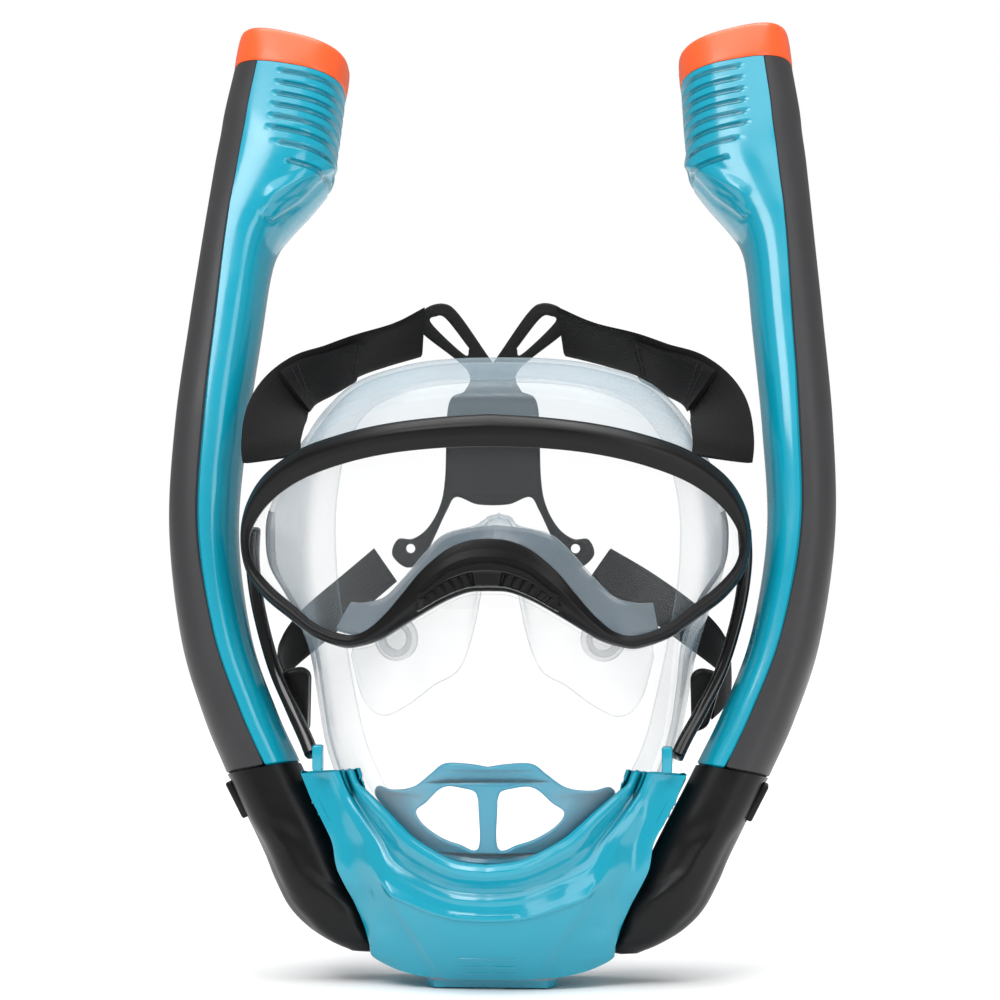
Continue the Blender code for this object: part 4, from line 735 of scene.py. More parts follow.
def snorkel_cap(side_name, side):
    centres, width, depth, tilt, lean, _ = tube_rows([1.0])
    up = head_up()
    angles = np.linspace(0, 2 * math.pi, 112, endpoint=False)
    heights = (
        (0.0, 0.996), (0.03, 1.004), (0.10, 1.008), (0.30, 1.012), (0.55, 1.010), (0.75, 1.004), (0.86, 0.995),
        (0.93, 0.980), (0.975, 0.955), (1.0, 0.915), (1.012, 0.85), (1.02, 0.70), (1.026, 0.45), (1.03, 0.2),
    )
    rings = []
    for height, grow in heights:
        middle = centres + up * (GAP + CAP_HEIGHT * height)
        rings.append(sections(middle, width * grow, depth * grow, tilt + CAP_WEDGE * height, lean, angles)[0])
    outer = np.array(rings)
    inside = []
    for height, grow in heights:
        middle = centres + up * (GAP + CAP_HEIGHT * height - CAP_WALL * smooth_step(height, 0.4, 0.95))
        shrink = 1 - CAP_WALL / width[0]
        inside.append(sections(
            middle, width * grow * shrink, depth * grow * shrink, tilt + CAP_WEDGE * height, lean, angles)[0])
    inner = np.array(inside)
    tip, under = outer[-1].mean(0), inner[-1].mean(0)
    outer = np.concatenate([outer, np.repeat(tip[None, None], len(angles), 1)])
    inner = np.concatenate([inner, np.repeat(under[None, None], len(angles), 1)])
    points = np.concatenate([outer.reshape(-1, 3), inner.reshape(-1, 3)])
    rows, columns = outer.shape[:2]
    shift = rows * columns
    faces = grid_faces(rows, columns, False, True) + grid_faces(rows, columns, False, True, shift, True)
    for j in range(columns):
        k = (j + 1) % columns
        faces.append((j, k, k + shift, j + shift))
    made = finish_mesh("snorkel_cap_" + side_name, flip_side(points, side) * MM, faces, "orange", 50)
    back = np.array((0, math.cos(math.radians(lean[0])), -math.sin(math.radians(lean[0]))))
    for shift in (-9.0, 0.0, 9.0):
        spot = centres[0] + up * (CAP_HEIGHT * 0.42) + back * depth[0]
        spot[0] += shift
        spot[2] += shift * math.sin(math.radians(tilt[0]))
        tipped = Matrix.Rotation(math.radians(-tilt[0] * side), 4, "Y")
        turn = tipped @ Matrix.Rotation(-math.radians(lean[0]), 4, "X")
        spot = flip_side(spot, side) * MM
        cut_box(made, (0.006, 0.010, 0.0032), Matrix.Translation(Vector(spot)) @ turn, 0.0012)
    return settle(made, "snorkel_" + side_name, "orange", "tube_cap_" + side_name)


def cut_box(made, size, matrix, edge=0.0):
    """Takes a box with rounded edges out of a mesh, for good."""
    shape = bmesh.new()
    bmesh.ops.create_cube(shape, size=1.0, matrix=Matrix.Diagonal((*size, 1)))
    if edge:
        bmesh.ops.bevel(shape, geom=shape.edges[:], offset=edge, segments=3, affect="EDGES", profile=0.5)
    cut_shape(made, shape, matrix)


def cut_cylinder(made, radius, start, end, sides=48):
    shape = bmesh.new()
    start, end = Vector(start), Vector(end)
    length = (end - start).length
    bmesh.ops.create_cone(shape, cap_ends=True, segments=sides, radius1=radius, radius2=radius, depth=length,
                          matrix=Matrix.Translation((0, 0, length / 2)))
    turn = (end - start).to_track_quat("Z", "Y").to_matrix().to_4x4()
    cut_shape(made, shape, Matrix.Translation(start) @ turn)


def cut_shape(made, shape, matrix):
    mesh = bpy.data.meshes.new("cutter")
    shape.to_mesh(mesh)
    shape.free()
    cutter = bpy.data.objects.new("cutter", mesh)
    bpy.context.scene.collection.objects.link(cutter)
    cutter.matrix_world = matrix
    hole = made.modifiers.new("hole", "BOOLEAN")
    hole.operation = "DIFFERENCE"
    hole.solver = "EXACT"
    hole.object = cutter
    apply_modifiers(made)
    bpy.data.objects.remove(cutter)


def apply_modifiers(made):
    bpy.context.view_layer.update()
    ready = made.evaluated_get(bpy.context.evaluated_depsgraph_get())
    mesh = bpy.data.meshes.new_from_object(ready)
    made.modifiers.clear()
    old = made.data
    made.data = mesh
    bpy.data.meshes.remove(old)


def socket_way():
    top, low = np.array(ELBOW_ROWS[0]), np.array(ELBOW_ROWS[2])
    way = (top - low)[[2, 1, 0]]
    return way / np.linalg.norm(way)


def latch_matrix(side, outward):
    """The middle of the latch window: local X is straight out of the elbow's wall."""
    down = socket_way()
    centres, width, _, tilt, _, _ = tube_rows([0.0])
    wall = centres[0] - down * (2.8 + 6.5)
    outer = np.array((math.cos(math.radians(tilt[0])), 0, math.sin(math.radians(tilt[0]))))
    axis_z = np.array((down[0], 0, down[2])) / math.hypot(down[0], down[2])
    axis_x = np.array((axis_z[2], 0, -axis_z[0]))
    spot = (wall + outer * width[0] + axis_x * outward) * MM
    return Matrix((
        (axis_x[0] * side, 0, axis_z[0] * side, spot[0] * side),
        (0, side, 0, spot[1]),
        (axis_x[2], 0, axis_z[2], spot[2]),
        (0, 0, 0, 1),
    ))


def port_line(side):
    row = ELBOW_ROWS[5]
    inner = np.array((row[2] - row[3], row[1], row[0]))
    away = np.array((-1.0, 0.0, 0.28))
    away /= np.linalg.norm(away)
    return flip_side(inner + away * 9, side) * MM, flip_side(inner - away * 7, side) * MM


ELBOW_CREASE = (
    (74.0, -104.0), (66.5, -112.5), (62.6, -119.5), (56.5, -124.6), (50.0, -128.6), (46.0, -131.0),
)


def elbow(side_name, side):
    rows = spline(ELBOW_ROWS, 84)
    centres = rows[:, [2, 1, 0]]
    angles = np.linspace(0, 2 * math.pi, 120, endpoint=False)
    outer = sections(centres, rows[:, 3], rows[:, 4], rows[:, 5], rows[:, 6], angles)
    inner = sections(centres, rows[:, 3] - ELBOW_WALL, rows[:, 4] - ELBOW_WALL, rows[:, 5], rows[:, 6], angles)
    normals = grid_normals(outer, wrap_columns=True)
    normals *= np.sign((normals * (outer - centres[:, None])).sum(2, keepdims=True))
    x, z = outer[..., 0], outer[..., 2]
    crease = line_distance(x, z, ELBOW_CREASE)
    front = smooth_step(np.sin(angles), 0.0, 0.5)[None]
    fade = smooth_step(-z, 100, 112)
    push = np.where(crease > 0, -0.14 * np.minimum(crease, 9.0), -0.30 * np.minimum(-crease, 3.5)) * front * fade
    push = push * smooth_step(-z, 98, 110) * (1 - smooth_step(-z, 136, 143))
    outer = outer + normals * push[..., None]
    tip = outer[-1].mean(0) + np.array((-1.2, 0, -0.5))
    keep = slice(0, -6)
    inner = inner[keep]
    points = np.concatenate([outer.reshape(-1, 3), [tip], inner.reshape(-1, 3)])
    rows_o, columns = outer.shape[:2]
    faces = grid_faces(rows_o, columns, False, True)
    tip_index = rows_o * columns
    for j in range(columns):
        faces.append(((rows_o - 1) * columns + j, tip_index, (rows_o - 1) * columns + (j + 1) % columns)[::-1])
    shift = tip_index + 1
    rows_i = inner.shape[0]
    faces += grid_faces(rows_i, columns, False, True, shift, True)
    faces.append(tuple(shift + (rows_i - 1) * columns + j for j in range(columns)))
    for j in range(columns):
        k = (j + 1) % columns
        faces.append((j, k, k + shift, j + shift))
    made = finish_mesh("elbow_housing_" + side_name, flip_side(points, side) * MM, faces, "black", 40)
    inside, outside = port_line(side)
    cut_cylinder(made, 0.0068, inside, outside)
    cut_box(made, (0.014, 0.0132, 0.0142), latch_matrix(side, 0.0), 0.0004)
    return settle(made, "mask", "black", "elbow_" + side_name)

# ---------------------------------------------------------------- chin

# How far each share of the way down the chin stands forward of a plain bowl: rolled rim, groove, shelf
BEAD = ((0.0, 0.0), (0.02, -1.5), (0.06, -2.3), (0.10, -2.2), (0.135, -1.3), (0.17, 0.2), (0.21, 1.25), (0.25, 1.2),
        (0.285, 0.1), (0.31, -0.5), (0.35, -0.75))
SHELF = (
    (0.35, -0.75), (0.40, -1.4), (0.455, -2.75), (0.475, -2.75), (0.485, -2.0), (0.60, -1.7), (0.80, -1.0),
    (1.0, 0.0),
)
PLAIN = ((0.35, -0.75), (0.45, -1.1), (0.60, -0.9), (0.80, -0.5), (1.0, 0.0))
BLOCK_EDGE = ((31.5, -110.0), (33.0, -122.0), (29.0, -132.0), (22.0, -143.0), (15.5, -153.0))
ARM_VALLEY = ((53.5, -90.0), (49.0, -103.0), (42.5, -116.0), (36.5, -127.0), (33.0, -136.0))
DRAIN_LINES = ((0.815, 10.8, 0.0), (0.885, 9.2, 0.7), (0.945, 9.2, 0.7))


def chin():
    rays = spline(CHIN_ROWS, 90)
    rays = np.vstack([rays[:0:-1] * np.array((-1, 1, -1, 1, 1, -1, 1, 1)), rays])
    spans = [np.linspace(0, 0.5, 70), np.linspace(0.5, 0.8, 16), np.linspace(0.8, 1.0, 50)]
    steps = np.unique(np.concatenate(spans))
    s = steps[None]
    rim_x, rim_z, out_x, out_z, out_y = (rays[:, k][:, None] for k in range(5))
    rim_y = window_y(rim_x, rim_z) - 3.6
    x = rim_x + (out_x - rim_x) * s
    z = rim_z + (out_z - rim_z) * s
    bead = np.interp(s, [b[0] for b in BEAD], [b[1] for b in BEAD])
    shelf = np.interp(s, [b[0] for b in SHELF], [b[1] for b in SHELF])
    plain = np.interp(s, [b[0] for b in PLAIN], [b[1] for b in PLAIN])
    inside = line_distance(np.abs(x), z, BLOCK_EDGE)
    block = smooth_step(-inside, -0.3, 1.4) * smooth_step(-z, 112, 118)
    beside = plain * (1 - block) + 0.9 * (1 - block) * smooth_step(-z, 122, 130)
    low = np.where(s > 0.35, shelf * block + beside, 0.0)
    bump_y = np.where(s <= 0.35, bead, low)
    valley = line_distance(np.abs(x), z, ARM_VALLEY)
    fade = smooth_step(s, 0.30, 0.45) * (1 - block) * (1 - smooth_step(s, 0.9, 1.0))
    bump_y = bump_y + 1.0 * np.exp(-(valley / 3.2) ** 2) * fade
    ridge = np.clip(1 - np.abs(inside) / 1.6, 0, 1) * smooth_step(-z, 116, 122) * smooth_step(s, 0.36, 0.44)
    bump_y = bump_y - 0.55 * ridge
    tab = smooth_step(10.4 - np.abs(x), 0.0, 1.6) * smooth_step(s, 0.425, 0.435)
    tab = tab * (1 - smooth_step(s, 0.468, 0.478))
    bump_y = bump_y - 0.45 * tab
    for place_s, half, gap in DRAIN_LINES:
        line = np.clip(1 - (np.abs(s - place_s) / 0.011) ** 2, 0, 1) * smooth_step(half - np.abs(x), 0, 0.6)
        if gap:
            line = line * smooth_step(np.abs(x), gap * 0.4, gap)
        bump_y = bump_y - 0.35 * line * (np.abs(out_x) < 30)
    y = rim_y + (out_y - rim_y) * s ** 2.2 + bump_y
    front = np.stack([x, y, z], -1)
    under = []
    back_x, back_y, back_z = (rays[:, k][:, None] for k in (5, 6, 7))
    for t in np.linspace(0, 1, 22)[1:]:
        low_y = out_y * (1 - t) + back_y * t
        mid_x = out_x * (1 - t) + back_x * t
        mid_z = out_z * (1 - t) + back_z * t - 1.2 * 4 * t * (1 - t)
        under.append(np.concatenate([mid_x, low_y, mid_z], 1)[:, None])
    outer = np.concatenate([front] + under, 1)
    ahead = smooth_step(-outer[..., 1], 26.0, 33.0)
    corner = CORNER_REACH * ahead * smooth_step(-outer[..., 2], 108, 120)
    corner = corner * smooth_step(outer[..., 2], -150.5, -146)
    outer[..., 0] += np.sign(outer[..., 0]) * corner * smooth_step(np.abs(outer[..., 0]), 24, 38)
    limit = elbow_inner(outer[..., 2]) - CHIN_ELBOW_GAP + corner
    outer[..., 0] = np.clip(outer[..., 0], -limit, limit)
    normals = grid_normals(outer)
    heart = np.stack([outer[..., 0] * 0.6, np.full(outer.shape[:2], -10.0), np.full(outer.shape[:2], -95.0)], -1)
    normals *= np.sign((normals * (outer - heart)).sum(2, keepdims=True))
    smooth = outer.copy()
    smooth[..., 1] -= np.concatenate([bump_y, np.zeros((len(rays), 21))], 1) * 0.75
    flat = grid_normals(smooth)
    flat *= np.sign((flat * normals).sum(2, keepdims=True))
    inner = smooth - flat * CHIN_WALL
    inner[..., 1] = np.maximum(inner[..., 1], outer[..., 1] + 0.5 * (normals[..., 1] < -0.3))
    made = thick("chin_housing", outer * MM, inner * MM, "teal", sharp=38, rim=0.30)
    return settle(made, "mask", "teal", "chin_shell")


# ---------------------------------------------------------------- goggle frame, bridge, lens, window


def frame_points(rows):
    xo, zo, xi, zi = rows.T
    out = np.stack([xo, visor_y(xo), zo], -1)
    inn = np.stack([xi, visor_y(xi), zi], -1)
    step = (out - inn) * np.array((1, 0, 1))
    flat = step / np.linalg.norm(step, axis=1, keepdims=True)
    return out, inn, flat


def goggle_frame():
    out, inn, flat = frame_points(frame_loop(150))
    back = np.array((0.0, 1.0, 0.0))
    width = np.linalg.norm((out - inn)[:, [0, 2]], axis=1, keepdims=True)
    crest = out * 0.68 + inn * 0.32
    crest[:, 1] = np.minimum(out[:, 1], inn[:, 1])
    ledge = out * 0.34 + inn * 0.66
    ledge[:, 1] = crest[:, 1] + 0.25
    rebate = flat * LENS_REBATE
    ring = np.stack([
        out + back * 3.2, crest, ledge, ledge + back * 0.7 - flat * 0.15 * width, inn + back * 1.6,
        inn + back * FRAME_LIP, inn + rebate + back * FRAME_LIP,
        inn + rebate + back * FRAME_THICKNESS, out + back * FRAME_THICKNESS,
    ], 1)
    ring = fillet(ring, (1.6, 1.3, 0.25, 0.25, 0.5, 0.3, 0.3, 0.4, 0.9), 4)
    made = closed_loft("goggle_frame_fine", ring * MM, "black", True, sharp=45)
    return settle(made, "mask", "black", "goggle_frame")


def nose_bridge():
    xs = np.linspace(-22.4, 22.4, 181)
    low = lower_edge_of_frame(np.minimum(np.abs(xs), 22.0)) + 1.4
    high = np.interp(np.minimum(np.abs(xs), 22.0), (0, 6.5, 13.8, 21.6), (-19.4, -20.2, -23.0, -29.6))
    high = np.convolve(np.pad(high, 8, mode="edge"), np.ones(17) / 17, "valid")
    v = np.linspace(0, 1, 40)
    x = np.repeat(xs[:, None], len(v), 1)
    z = high[:, None] + (low - high)[:, None] * v[None]
    front = visor_y(x) - GAP - 2.2 * np.clip(np.minimum(v / 0.10, (1 - v) / 0.08), 0, 1)[None] ** 0.6
    height = (high - low)[:, None]
    taper = smooth_step(22.4 - np.abs(x), 0.0, 2.5)
    arc = smooth_step(v, 0.36, 0.42)[None] * (1 - smooth_step(v, 0.90, 0.95))[None] * taper
    panel = smooth_step(np.abs(x), 3.6 + 1.5 * (0.9 - v)[None], 4.4 + 1.5 * (0.9 - v)[None])
    sunk = 1.0 * arc * panel
    for number in range(6):
        for side in (-1, 1):
            middle = side * (5.9 + 2.75 * number)
            lean = side * (v[None] - 0.6) * (2.6 + 0.35 * number)
            fin = np.clip(1 - np.abs(x - middle + lean) / 0.62, 0, 1)
            sunk = sunk - 1.05 * arc * panel * fin * (1 - 0.35 * v[None])
    y = front + np.maximum(sunk, 0) * (height > 3)
    y = y - 0.25 * np.exp(-((v[None] - 0.36) / 0.03) ** 2) * taper
    outer = np.stack([x, np.minimum(y, visor_y(x) - GAP), z], -1)
    inner = outer.copy()
    inner[..., 1] = visor_y(x) - GAP + 0.02
    rows, columns = x.shape
    points = np.concatenate([outer.reshape(-1, 3), inner.reshape(-1, 3)])
    made = thick("nose_bridge_fine", outer * MM, inner * MM, "black", sharp=40, rim=0.0)
    return settle(made, "mask", "black", "nose_bridge")


def eye_lens():
    rows = frame_loop(150)[:150]
    _, inn, flat = frame_points(rows)
    edge = inn + flat * (LENS_REBATE - LENS_CLEARANCE)
    turn = int(np.argmax(edge[:, 0]))
    top, low = edge[:turn + 1], edge[turn:][::-1]
    widest = edge[turn, 0]
    shares = np.sin(np.linspace(0, 1, 60) * math.pi / 2 * 0.97)
    shares = np.concatenate([-shares[:0:-1], shares])
    x = np.abs(shares) * widest
    high = np.interp(x, top[:, 0], top[:, 2])
    deep = np.interp(x, low[:, 0], low[:, 2])
    v = np.linspace(0, 1, 24)[None]
    grid_x = np.repeat((shares * widest)[:, None], 24, 1)
    z = high[:, None] + (deep - high)[:, None] * v
    y = visor_y(grid_x) + FRAME_LIP + LENS_CLEARANCE
    outer = np.stack([grid_x, y, z], -1)
    inner = outer + np.array((0, LENS_THICKNESS, 0))
    made = thick("eye_lens_fine", outer * MM, inner * MM, "lens", rim=0.2)
    return settle(made, "mask", "lens", "eye_lens")


def lower_window():
    shares = np.sin(np.linspace(0, 1, 50) * math.pi / 2)
    shares = np.concatenate([-shares[:0:-1], shares])[:, None]
    v = np.linspace(0, 1, 40)[None]
    x = np.abs(shares) * 59.6 + 0 * v
    z = np.zeros_like(x)
    for _ in range(8):
        high = lower_edge_of_frame(np.minimum(x, 60.0)) - 0.9
        deep = np.where(x < 44.4, chin_rim(x) - 3.0, np.interp(x, (44.4, 52), (-91.4, -89.0)))
        z = high + (deep - high) * v
        x = np.abs(shares) * (window_edge(z) - 0.4)
    x = x * np.sign(shares + 1e-12)
    y = window_y(x, z)
    outer = np.stack([x, y, z], -1)
    normals = grid_normals(outer)
    normals *= np.sign(-normals[:, :, 1:2] + 0.2 * normals[:, :, :1] * np.sign(x)[..., None])
    inner = outer - normals * WINDOW_THICKNESS
    made = thick("lower_window_fine", outer * MM, inner * MM, "window", rim=0.2)
    return settle(made, "mask", "window", "lower_window")


# ---------------------------------------------------------------- silicone


def edge_band(made, line, reach, look):
    """Gives the faces within reach (mm) of a line a second material."""
    centres = np.empty(len(made.data.polygons) * 3)
    made.data.polygons.foreach_get("center", centres)
    centres = centres.reshape(-1, 3) / MM
    near = np.full(len(centres), 1e9)
    for point in line:
        near = np.minimum(near, np.linalg.norm(centres - point, axis=1))
    made.data.materials.append(LOOK[look])
    made.data.polygons.foreach_set("material_index", (near < reach).astype(np.int32))


def face_skirt():
    count = 150
    columns = [spline([row[k] for row in SKIRT_ROWS], count) for k in range(4)]
    profile = spline(np.stack(columns), 64)
    grid = np.swapaxes(profile, 0, 1)
    other = flip_side(grid[-2:0:-1], -1)
    full = np.concatenate([grid, other])
    normals = grid_normals(full, wrap_rows=True)
    heart = np.stack([np.zeros(full.shape[:2]), full[..., 1], np.full(full.shape[:2], -40.0)], -1)
    normals *= np.sign((normals * (full - heart)).sum(2, keepdims=True))
    v = np.linspace(0, 1, 64)[None]
    top = smooth_step(full[..., 2], 0.0, 14.0)
    ribs = np.zeros(full.shape[:2])
    for place_v, tall in ((0.06, 0.5), (0.20, 0.55), (0.34, 0.5), (0.50, 0.45)):
        ribs += tall * np.exp(-((v - place_v) / 0.011) ** 2)
    bead = 0.5 * np.exp(-((v - 0.985) / 0.02) ** 2)
    outer = full + normals * (ribs * top + bead * 0.3)[..., None]
    wall = SKIRT_THICKNESS * (1.0 - 0.35 * smooth_step(v, 0.6, 0.95) + 0.35 * bead)
    inner = full - normals * np.broadcast_to(wall, full.shape[:2])[..., None]
    made = thick("face_skirt_fine", outer * MM, inner * MM, "silicone", wrap_rows=True, rim=0.4)
    front = full[:, 0]
    edge_band(made, front[(front[:, 2] < -10.0) & (front[:, 2] > -36.0)], 7.0, "lip")
    return settle(made, "mask", "silicone_clear", "face_skirt")


def nose_pocket():
    count = 110
    columns = [spline([row[k] for row in POCKET_ROWS], count) for k in range(3)]
    profile = spline(np.stack(columns), 60)
    grid = np.swapaxes(profile, 0, 1)
    full = np.concatenate([flip_side(grid[:0:-1], -1), grid])
    normals = grid_normals(full)
    heart = np.array((0.0, -30.0, -60.0))
    normals *= np.sign((normals * (full - heart)).sum(2, keepdims=True))
    v = np.linspace(0, 1, 60)[None]
    bead = 0.35 * np.exp(-((v - 0.985) / 0.02) ** 2) + 0 * full[..., 0]
    outer = full + normals * (bead * 0.4)[..., None]
    inner = full - normals * (POCKET_THICKNESS * (1 - 0.25 * smooth_step(v, 0.5, 0.9)) + bead)[..., None]
    made = thick("nose_pocket_fine", outer * MM, inner * MM, "silicone", rim=0.4)
    edge_band(made, np.concatenate([full[:, 3], full[:, 14]]), 7.5, "lip")
    return settle(made, "mask", "silicone_clear", "nose_pocket")


# ---------------------------------------------------------------- flat moulded plates


def plate(name, outlines, thickness, edge, look, sharp=50):
    """A flat plate with holes drawn in X and Z (mm), its middle at y = 0, its edges rounded."""
    curve = bpy.data.curves.new(name, "CURVE")
    curve.dimensions = "2D"
    curve.fill_mode = "BOTH"
    curve.extrude = (thickness / 2 - edge) * MM
    curve.bevel_depth = edge * MM
    curve.bevel_resolution = 3
    curve.offset = -edge * MM
    for outline in outlines:
        line = curve.splines.new("POLY")
        line.points.add(len(outline) - 1)
        for point, (x, z) in zip(line.points, outline):
            point.co = (x * MM, z * MM, 0.0, 1.0)
        line.use_cyclic_u = True
    drawn = bpy.data.objects.new(name + "_drawn", curve)
    bpy.context.scene.collection.objects.link(drawn)
    bpy.context.view_layer.update()
    ready = drawn.evaluated_get(bpy.context.evaluated_depsgraph_get())
    mesh = bpy.data.meshes.new_from_object(ready)
    bpy.data.objects.remove(drawn)
    shape = bmesh.new()
    shape.from_mesh(mesh)
    bmesh.ops.remove_doubles(shape, verts=shape.verts, dist=0.00001)
    bmesh.ops.rotate(shape, verts=shape.verts, matrix=Matrix.Rotation(math.pi / 2, 3, "X"))
    bmesh.ops.recalc_face_normals(shape, faces=shape.faces)
    shape.to_mesh(mesh)
    shape.free()
    mesh.materials.clear()
    mesh.materials.append(LOOK[look])
    mesh.shade_smooth()
    mesh.set_sharp_from_angle(angle=math.radians(sharp))
    made = bpy.data.objects.new(name, mesh)
    bpy.context.scene.collection.objects.link(made)
    return made


def mirror_outline(half):
    half = np.asarray(half, float)
    return np.vstack([half, half[-2:0:-1] * np.array((-1, 1))])


def mouth_support():
    outline = mirror_outline(spline(SUPPORT_OUTLINE, 120))
    hole = spline(SUPPORT_OPENING + SUPPORT_OPENING[:1], 90)[:-1]
    other = hole * np.array((-1, 1))
    made = plate("mouth_support_fine", (outline, hole, other), 2.6, 0.95, "support")
    co = np.array([v.co for v in made.data.vertices]) / MM
    y = window_y(co[:, 0], co[:, 2]) + WINDOW_THICKNESS + 1.3 + 1.6 + 3.4 * (np.abs(co[:, 0]) / 39.0) ** 3
    co[:, 1] += y
    made.data.vertices.foreach_set("co", (co * MM).astype(np.float32).ravel())
    made.data.update()
    return settle(made, "mask", "support", "mouth_support")


def harness():
    half = np.array(HARNESS_OUTLINE, float)
    outline = mirror_outline(spline(half, 260))
    slot = spline(HARNESS_SLOT + HARNESS_SLOT[:1], 60)[:-1]
    angles = np.linspace(0, 2 * math.pi, 24, endpoint=False)
    tab = np.stack([HARNESS_TAB[0] + 1.6 * np.cos(angles), HARNESS_TAB[1] + 1.6 * np.sin(angles)], -1)
    flip = np.array((-1, 1))
    made = plate("rear_harness_fine", [outline, slot, slot * flip, tab, tab * flip], 2.6, 0.7, "black_rubber")
    made.location = (HARNESS_DRIFT * MM, HARNESS_Y * MM, 0.0)
    return settle(made, "harness", "black_rubber", "rear_harness")


# ---------------------------------------------------------------- webbing


def ribbon_frame(route, count, part=(0.0, 1.0)):
    fine = 481
    middles = spline([mid for mid, _ in route], fine)
    widths = spline([way for _, way in route], fine)
    index = np.linspace(part[0], part[1], count) * (fine - 1)
    k = np.clip(np.round(index).astype(int), 0, fine - 1)
    tangent = middles[np.minimum(k + 1, fine - 1)] - middles[np.maximum(k - 1, 0)]
    tangent /= np.linalg.norm(tangent, axis=1, keepdims=True)
    wide = widths[k] - tangent * (widths[k] * tangent).sum(1, keepdims=True)
    wide /= np.linalg.norm(wide, axis=1, keepdims=True)
    out = np.cross(tangent, wide)
    drift = np.stack([HARNESS_DRIFT * (k / (fine - 1)) ** 2, 0 * k, 0 * k], -1)
    return middles[k], tangent, wide, out, drift


def ribbon(name, route, width, count, side, part=(0.0, 1.0), lift=0.0, crown=0.25, wave=0.25,
           thickness=STRAP_THICKNESS):
    """A strap of webbing with rounded edges, a slight crown and small creases, and a flat map of its cloth."""
    middles, tangent, wide, out, drift = ribbon_frame(route, count, part)
    half_ring = np.linspace(-1, 1, 15)
    arc = np.sqrt(np.clip(1 - np.abs(half_ring) ** 7, 0, 1))
    top = np.stack([half_ring * width / 2, arc * thickness / 2], -1)
    ring = np.vstack([top, top[-2:0:-1] * np.array((1, -1))])
    length = np.concatenate([[0], np.cumsum(np.linalg.norm(np.diff(middles, axis=0), axis=1))])
    ripple = wave * np.sin(length / 5.3 + side)[:, None] * np.cos(ring[None, :, 0] / width * 2.2)
    sag = crown * (1 - (ring[None, :, 0] / (width / 2)) ** 2) - crown / 2
    shift = lift + (sag + ripple) * 0.6
    grid = middles[:, None] + wide[:, None] * ring[None, :, :1] + out[:, None] * (ring[None, :, 1:] + shift[..., None])
    grid = flip_side(grid, side) + drift[:, None]
    made = closed_loft(name, grid * MM, "webbing", sharp=60)
    map_cloth(made, grid * MM, ring[:, 0] * MM, length * MM)
    return made


def map_cloth(made, grid, across, length):
    """UV in metres: X along the strap, Y across it, by the nearest point of the grid the mesh was made from."""
    points = grid.reshape(-1, 3)
    u = np.repeat(length, grid.shape[1])
    v = np.tile(across, grid.shape[0])
    co = np.array([vertex.co for vertex in made.data.vertices])
    order = {tuple(np.round(p, 6)): k for k, p in enumerate(points)}
    found = []
    for p in co:
        key = tuple(np.round(p, 6))
        k = order.get(key)
        if k is None:
            k = int(np.argmin(((points - p) ** 2).sum(1)))
        found.append(k)
    found = np.array(found)
    layer = made.data.uv_layers.new(name="cloth")
    loops = np.empty(len(made.data.loops), np.int32)
    made.data.loops.foreach_get("vertex_index", loops)
    uv = np.stack([u[found][loops], v[found][loops]], -1)
    layer.data.foreach_set("uv", uv.astype(np.float32).ravel())


def stitches(name, route, width, side, spots, lift):
    """Rows of thread across a strap at given shares of its length: small raised loops."""
    points, faces = [], []
    for spot in spots:
        middles, tangent, wide, out, drift = ribbon_frame(route, 3, (spot - 0.004, spot + 0.004))
        middle, along, across, up = middles[1], tangent[1], wide[1], out[1]
        for k in range(9):
            offset = (k - 4) / 4 * width * 0.42
            centre = middle + across * offset + up * (lift + STRAP_THICKNESS / 2) + drift[1] * np.array((side, 1, 1))
            base = len(points)
            for a in range(5):
                t = a / 4 - 0.5
                bow = 0.28 * math.cos(t * math.pi)
                for b in range(6):
                    turn = b / 6 * 2 * math.pi
                    points.append(centre + across * (t * 1.5) + up * (bow - 0.1 + 0.16 * math.sin(turn))
                                  + along * 0.16 * math.cos(turn))
            faces += grid_faces(5, 6, False, True, base)
            faces.append(tuple(range(base, base + 6))[::-1])
            faces.append(tuple(range(base + 24, base + 30)))
    made = finish_mesh(name, flip_side(points, side) * MM, faces, "stitch", 60)
    return made


def straps(side_name, side):
    upper = ribbon("upper_webbing_" + side_name, UPPER_STRAP, UPPER_STRAP_WIDTH, 150, side, crown=0.5)
    tail = ribbon("strap_tail_fine_" + side_name, UPPER_STRAP, UPPER_STRAP_WIDTH * 0.86, 60, side,
                  (11 / 30, 21 / 30), -(STRAP_THICKNESS + 3 * GAP), crown=0.5)
    lower = ribbon("lower_webbing_" + side_name, LOWER_STRAP, LOWER_STRAP_WIDTH, 100, side, crown=0.3)
    thread = stitches("tail_stitching_" + side_name, UPPER_STRAP, UPPER_STRAP_WIDTH * 0.8, side,
                      (0.40, 0.42, 0.66, 0.68), -(STRAP_THICKNESS * 2 + 3 * GAP) )
    pairs = ((upper, "upper_strap_"), (tail, "strap_tail_"), (lower, "lower_strap_"), (thread, None))
    for made, cad in pairs:
        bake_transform(made)
        if cad:
            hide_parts(cad + side_name)


# ---------------------------------------------------------------- struts, anchors, clips, latches


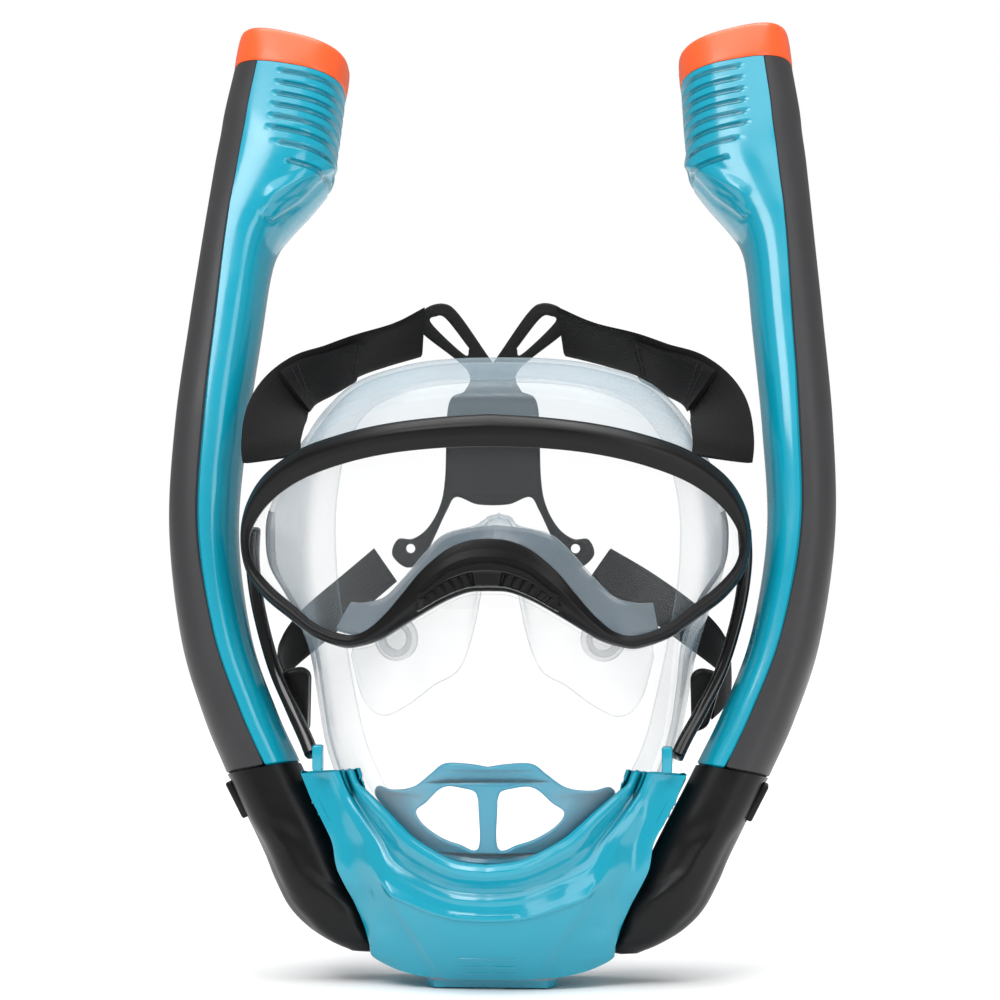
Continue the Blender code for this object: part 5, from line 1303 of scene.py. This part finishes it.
def side_strut(side_name, side):
    centres = spline(STRUT_ROUTE, 90)
    tangent = np.gradient(centres, axis=0)
    tangent /= np.linalg.norm(tangent, axis=1, keepdims=True)
    deep = np.array((0.0, 1.0, 0.0)) - tangent * tangent[:, 1:2]
    deep /= np.linalg.norm(deep, axis=1, keepdims=True)
    wide = np.cross(tangent, deep)
    angles = np.linspace(0, 2 * math.pi, 28, endpoint=False)
    c, s = np.cos(angles), np.sin(angles)
    u = np.sign(c) * np.abs(c) ** 0.6 * STRUT_WIDTH / 2
    v = np.sign(s) * np.abs(s) ** 0.6 * STRUT_DEPTH / 2
    t = np.linspace(0, 1, 90)
    grow = 1.0 - 0.10 * np.exp(-((t - 0.5) / 0.25) ** 2)
    ends = np.sqrt(np.clip(1 - np.maximum(np.abs(t - 0.5) * 2 - 0.985, 0) / 0.015 * 0.5, 0, 1))
    scale = (grow * ends)[:, None, None]
    rings = centres[:, None] + (wide[:, None] * u[None, :, None] + deep[:, None] * v[None, :, None]) * scale
    made = closed_loft("strut_" + side_name, flip_side(rings, side) * MM, "black_gloss", sharp=50)
    return settle(made, "mask", "black", "side_strut_" + side_name)


def strap_anchor(side_name, side):
    corners = np.array(((62.8, -57.0), (66.0, -55.0), (71.6, -56.4), (72.4, -62.0), (68.6, -74.4), (63.2, -76.6)))
    ring = np.stack([corners[:, 0], np.zeros(6), corners[:, 1]], -1)[None]
    outline = fillet(ring, [2.2] * 6, 6)[0]
    centre = np.array((67.2, 0.0, -66.0))
    rings = []
    for y, grow in ((-6.4, 0.80), (-6.35, 0.88), (-6.1, 0.94), (-5.5, 0.98), (-4.8, 1.0), (-2.0, 1.0), (-1.8, 0.97),
                    (-1.2, 0.97), (-1.0, 1.0), (1.6, 1.0), (2.4, 0.98), (2.9, 0.94), (3.0, 0.86)):
        rings.append(centre + (outline - centre) * grow + np.array((0, y, 0)))
    made = closed_loft("strap_anchor_fine_" + side_name, flip_side(rings, side) * MM, "black", sharp=50)
    return settle(made, "mask", "black", "strap_anchor_" + side_name)


def rounded_block(name, size, matrix, edge, look):
    shape = bmesh.new()
    bmesh.ops.create_cube(shape, size=1.0, matrix=Matrix.Diagonal((*size, 1)))
    bmesh.ops.bevel(shape, geom=shape.edges[:], offset=edge, segments=4, affect="EDGES", profile=0.5)
    mesh = bpy.data.meshes.new(name)
    shape.to_mesh(mesh)
    shape.free()
    mesh.shade_smooth()
    mesh.materials.append(LOOK[look])
    made = bpy.data.objects.new(name, mesh)
    bpy.context.scene.collection.objects.link(made)
    made.matrix_world = matrix
    return made


def latch(side_name, side):
    """The button across the seam, with three finger ribs moulded in its face."""
    lift = 1.4 - 1.3
    size = (0.0026, 0.012, 0.013)
    made = rounded_block("latch_button_" + side_name, size, latch_matrix(side, lift), 0.0008, "black")
    for k in (-1, 0, 1):
        spot = latch_matrix(side, 1.55) @ Matrix.Translation((0, 0, k * 0.003))
        cut_box(made, (0.0010, 0.0084, 0.0011), spot, 0.0003)
    return settle(made, "latch_" + side_name, "black", "latch_" + side_name)


def chin_clip(side_name, side):
    spot = Vector((56.2 * side, -33.2, -87.6 + 4.25 + GAP)) * MM
    size = (0.0034, 0.0046, 0.0085)
    made = rounded_block("chin_clip_fine_" + side_name, size, Matrix.Translation(spot), 0.0008, "teal")
    return settle(made, "mask", "teal", "chin_clip_" + side_name)


# ---------------------------------------------------------------- the pieces that keep their solids

KEPT = {
    "drain_cover": "teal", "drain_flap": "flap", "float_cage_": "float", "valve_seat_": "seal", "float_": "float",
    "spigot_": "black", "spigot_seal_": "seal", "port_sleeve_": "seal", "check_seat_": "smoky", "check_flap_": "smoky",
}


def dress_kept():
    for stem, look in KEPT.items():
        names = [stem + side for side, _ in SIDES] if stem.endswith("_") else [stem]
        for name in names:
            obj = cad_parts[name]
            obj = obj if isinstance(obj, bpy.types.Object) else bpy.data.objects[obj]
            if not obj.material_slots:
                obj.data.materials.append(LOOK[look])
            for place in obj.material_slots:
                place.material = LOOK[look]


make_camera()
make_studio()
goggle_frame()
nose_bridge()
eye_lens()
lower_window()
face_skirt()
nose_pocket()
chin()
mouth_support()
harness()
for side_name, side in SIDES:
    half_tube("teal", side_name, side)
    half_tube("charcoal", side_name, side)
    snorkel_cap(side_name, side)
    elbow(side_name, side)
    latch(side_name, side)
    straps(side_name, side)
    side_strut(side_name, side)
    strap_anchor(side_name, side)
    chin_clip(side_name, side)
dress_kept()
